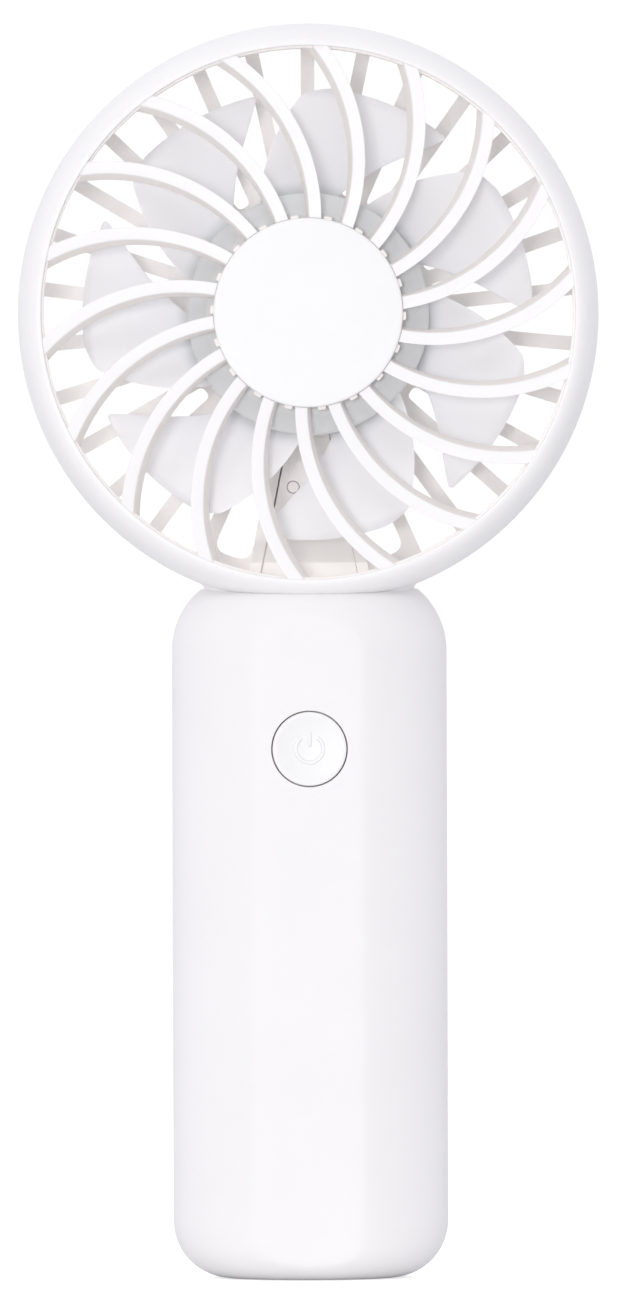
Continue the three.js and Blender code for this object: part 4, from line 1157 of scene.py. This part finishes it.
def back_surface_y(x, z):
    """Depth of the rear shell's outer surface."""
    arc = sorted(handle_arc(*handle_halves(z, 0), SHELL_SPLIT_Y, False))
    for (x0, y0), (x1, y1) in zip(arc, arc[1:]):
        if x0 <= x <= x1:
            return y0 + (y1 - y0) * (x - x0) / (x1 - x0)
    return SHELL_SPLIT_Y


def well_post(x, z, steps=40):
    """The post around a screw's well, ending within the shell's wall."""
    rim = [(x + dx, z + dz) for dx, dz in (polar(WELL_POST_R, 360 * k / steps) for k in range(steps))]
    low = [(px, SCREW_SEAT_Y - WELL_FLOOR, pz) for px, pz in rim]
    high = [(px, back_surface_y(px, pz) - 0.6, pz) for px, pz in rim]
    return skin("well_post", [low, high])


def rear_shell():
    """The handle's back half, with the screw wells and the port's opening."""
    shell = shell_half("handle_back", False)
    shell_cuts(shell)
    places = screw_places()
    wells = [round_bar("well", SCREW_WELL_R, SCREW_SEAT_Y, BEHIND_Y, x, z) for x, z in places]
    port_outline = rounded_slot(PORT_HALF_W + PORT_CLEARANCE, PORT_HALF_H + PORT_CLEARANCE)
    port = slab("port_hole", port_outline, 9, BEHIND_Y, PORT_Z)
    recess = skin("port_recess", [
        [(x, y, PORT_Z + z) for x, z in rounded_slot(PORT_HALF_W + grow, PORT_HALF_H + grow)]
        for y, grow in ((16.2, PORT_CLEARANCE), (16.6, 0.45), (17.2, 1.0))])
    shanks = [round_bar("shank_hole", SHANK_HOLE_R, 5, SCREW_SEAT_Y + 1, x, z) for x, z in places]
    join(shell, merged("well_posts", [well_post(x, z) for x, z in places]))
    cut(shell, merged("wells", wells), merged("shank_holes", shanks), port, recess)
    return place(shell, "housing", "handle_white", "handle_rear_shell")


def screw(index, x, z):
    """A self-tapping screw with a domed head and a cross recess."""
    seat = SCREW_SEAT_Y + 0.05
    shank = [(0, SCREW_TIP_Y), (SCREW_TIP_R, SCREW_TIP_Y), (SCREW_SHANK_R, SCREW_TIP_Y + SCREW_TAPER)]
    head = [(SCREW_SHANK_R, seat), (SCREW_HEAD_R, seat), (SCREW_HEAD_R, seat + 0.6), (1.5, seat + 1.05),
            (0.9, seat + 1.35), (0, seat + 1.45)]
    body = moved_x(lathe(f"screw_{index}", shank + head, 48, z), x)
    long, narrow = SLOT_HALF_LENGTH, SLOT_HALF_WIDTH
    arms = [block(name, x - across, x + across, seat + 0.7, 20, z - up, z + up)
            for name, across, up in (("slot_a", long, narrow), ("slot_b", narrow, long))]
    cut(body, *arms)
    return place(body, "housing", "screw_steel", f"shell_screw_{index}")


def usb_socket():
    """Drawn steel sleeve with its contact tongue."""
    y0, y1 = PORT_LO.y, PORT_HI.y
    sleeve = slab("port_sleeve", rounded_slot(PORT_HALF_W, PORT_HALF_H), y0, y1, PORT_Z)
    mouth_outline = rounded_slot(PORT_HALF_W - PORT_SLEEVE, PORT_HALF_H - PORT_SLEEVE)
    cut(sleeve, slab("port_mouth", mouth_outline, y0 + 1, y1 + 1, PORT_Z))
    tongue = block("tongue", -3.3, 3.3, y0 + 0.5, y1 - 1.2, PORT_Z - 0.35, PORT_Z + 0.35)
    join(sleeve, tongue)
    return place(sleeve, "housing", "socket_steel", "usb_socket")


# ---- power button --------------------------------------------------------

def open_ring(half):
    """Outline of the symbol's ring, open at the top."""
    steps = 40
    start, end = 90 + SYMBOL_GAP_DEG, 450 - SYMBOL_GAP_DEG
    outer = [polar(SYMBOL_RING_R + half, start + (end - start) * k / steps) for k in range(steps + 1)]
    inner = [polar(SYMBOL_RING_R - half, end + (start - end) * k / steps) for k in range(steps + 1)]
    return outer + inner


def upright_bar(half, low=0.8, high=2.7):
    """Outline of the symbol's bar, its ends grown with its width."""
    low, high = low - half, high + half
    return filleted([(-half, low), (half, low), (half, high), (-half, high)], 0.2, 3)


def power_symbol():
    """Open ring with a short upright bar, raised from the button's face on sloping flanks."""
    levels = ((BUTTON_FACE_Y + 0.05, SYMBOL_HALF), (BUTTON_FACE_Y + 0.38, SYMBOL_HALF + SYMBOL_FLANK),
              (BUTTON_FACE_Y + 1, SYMBOL_HALF + SYMBOL_FLANK))
    strokes = [skin(name, [[(x, y, BUTTON_Z + z) for x, z in outline(half)] for y, half in levels])
               for name, outline in (("symbol_ring", open_ring), ("symbol_bar", upright_bar))]
    return merged("symbol", strokes)


def power_button():
    """Dished cap on a flange that keeps it in the handle."""
    face = BUTTON_FACE_Y
    inside = LAND_Y + HANDLE_WALL
    dish_r, dish_depth = BUTTON_R - 0.6, 0.36
    dish = [(r, face + 0.02 + dish_depth * (1 - (r / dish_r) ** 2)) for r in (0, 1, 2, 3, 4, 4.8, 5.4, 5.7)]
    lip_corners = [(5.75, face + 0.02), (BUTTON_R, face + 0.05), (BUTTON_R, inside + 0.3)]
    lip = filleted(lip_corners, [0, 0.26, 0], 6)[1:]
    flange_back, stem_r, stem_end = inside + 1.1, 1.6, inside + 1.4
    back = [(BUTTON_FLANGE_R, inside + 0.3), (BUTTON_FLANGE_R, flange_back), (stem_r, flange_back),
            (stem_r, stem_end), (0, stem_end)]
    button = lathe("button", dish + lip + back, 160, BUTTON_Z)
    join(button, power_symbol())
    return place(button, "button", "button_white", "power_button")


# ---- studio --------------------------------------------------------------

SCALE_PX_PER_MM = 5.795
IMAGE_HEIGHT = 1300
CAMERA_DISTANCE = 2200
VIEW_CENTRE = Vector((0.22, 0, 108.15))
CAMERA_ROLL = 0.17
BACKDROP_SIDE = (0, 0.75, 0.66)
FILL_FRONT = 0.42
FILL_BACKDROP = 1.0
FLOOR_R = 900
FLOOR_LIFT_SEEN = 0.55
FLOOR_PAINTED_LIGHT_AT_BASE = 0.06


def camera():
    data = bpy.data.cameras.new("camera")
    data.sensor_width = 36
    data.lens = data.sensor_width * CAMERA_DISTANCE * SCALE_PX_PER_MM / IMAGE_HEIGHT
    data.clip_start, data.clip_end = 0.1, 20
    obj = scene_object("camera", data)
    obj.location = (VIEW_CENTRE.x * MM, -CAMERA_DISTANCE * MM, VIEW_CENTRE.z * MM)
    obj.rotation_euler = (math.radians(90), math.radians(CAMERA_ROLL), 0)
    bpy.context.scene.camera = obj


def area_light(name, place_at, target, size, power, colour):
    data = bpy.data.lights.new(name, "AREA")
    data.shape = "RECTANGLE"
    data.size, data.size_y = size
    data.energy = power
    data.color = colour
    obj = scene_object(name, data)
    obj.location = place_at
    obj.rotation_euler = (Vector(target) - Vector(place_at)).to_track_quat("-Z", "Y").to_euler()


def world():
    """White to the camera; for light, a bright backdrop behind and above, dimmer in front."""
    w = bpy.data.worlds.new("studio")
    bpy.context.scene.world = w
    w.use_nodes = True
    tree = w.node_tree
    coord = tree.nodes.new("ShaderNodeTexCoord")
    toward = vector_step(tree, coord.outputs["Generated"], "DOT_PRODUCT", BACKDROP_SIDE)
    fill = tree.nodes["Background"]
    fill.inputs["Color"].default_value = (0.965, 0.96, 1.0, 1)
    brightness = ranged(tree, toward, (-0.45, 0.55), (FILL_FRONT, FILL_BACKDROP), smooth=True)
    tree.links.new(brightness, fill.inputs["Strength"])
    seen = tree.nodes.new("ShaderNodeBackground")
    with_values(seen, {"Color": (1, 1, 1, 1), "Strength": 1.05})
    path = tree.nodes.new("ShaderNodeLightPath")
    mix = tree.nodes.new("ShaderNodeMixShader")
    tree.links.new(path.outputs["Is Camera Ray"], mix.inputs[0])
    tree.links.new(fill.outputs[0], mix.inputs[1])
    tree.links.new(seen.outputs[0], mix.inputs[2])
    tree.links.new(mix.outputs[0], tree.nodes["World Output"].inputs["Surface"])


def floor():
    """A pale, nearly shadowless studio floor, with a painted pool of light round the base that hides the
    contact shadow.
    """
    steps = 96
    verts = [(*polar(FLOOR_R, 360 * k / steps), -0.05) for k in range(steps)]
    obj = mesh_object("floor", verts, [list(range(steps))])
    mat, bsdf, tree = shader("floor")
    with_values(bsdf, {"Base Color": (0.8, 0.8, 0.8, 1), "Roughness": 0.8, "Emission Color": (1, 1, 1, 1)})
    coord = tree.nodes.new("ShaderNodeTexCoord")
    away = vector_step(tree, coord.outputs["Object"], "LENGTH")
    # painted light: the floor glows a little round the base, fading outwards
    painted_light_near_base = ranged(tree, away, (0.02, 0.07), (FLOOR_PAINTED_LIGHT_AT_BASE, 0))
    path = tree.nodes.new("ShaderNodeLightPath")
    lift = tree.nodes.new("ShaderNodeMath")
    lift.operation = "MULTIPLY_ADD"
    lift.inputs[1].default_value = FLOOR_LIFT_SEEN
    tree.links.new(path.outputs["Is Camera Ray"], lift.inputs[0])
    tree.links.new(painted_light_near_base, lift.inputs[2])
    tree.links.new(lift.outputs[0], bsdf.inputs["Emission Strength"])
    obj.data.materials.append(mat)


def studio():
    world()
    floor()
    area_light("key", (-0.26, -2.31, 0.17), (0, 0, 0.11), (0.35, 0.35), 14.0, (1, 0.99, 0.98))
    area_light("overhead", (-0.2, -1.6, 1.15), (0, 0, 0.12), (0.9, 0.9), 4.8, (1, 1, 1))
    area_light("side", (-1.4, -0.5, 0.3), (0, 0, 0.11), (0.8, 1.2), 1.2, (1, 1, 1))
    bpy.context.scene.view_settings.view_transform = "Standard"


# ---- assembly ------------------------------------------------------------

camera()
front_grille()
hub_cap()
rear_grille()
channel_cover()
impeller()
front_shell()
rear_shell()
for number, (screw_x, screw_z) in enumerate(screw_places(), 1):
    screw(number, screw_x, screw_z)
usb_socket()
power_button()

for entry in frame["record"]["subparts"]:
    node = frame["nodes"][entry["node"]]
    node.data.materials.clear()
    node.data.materials.append(MATERIALS[entry["material_slot"]])

studio()
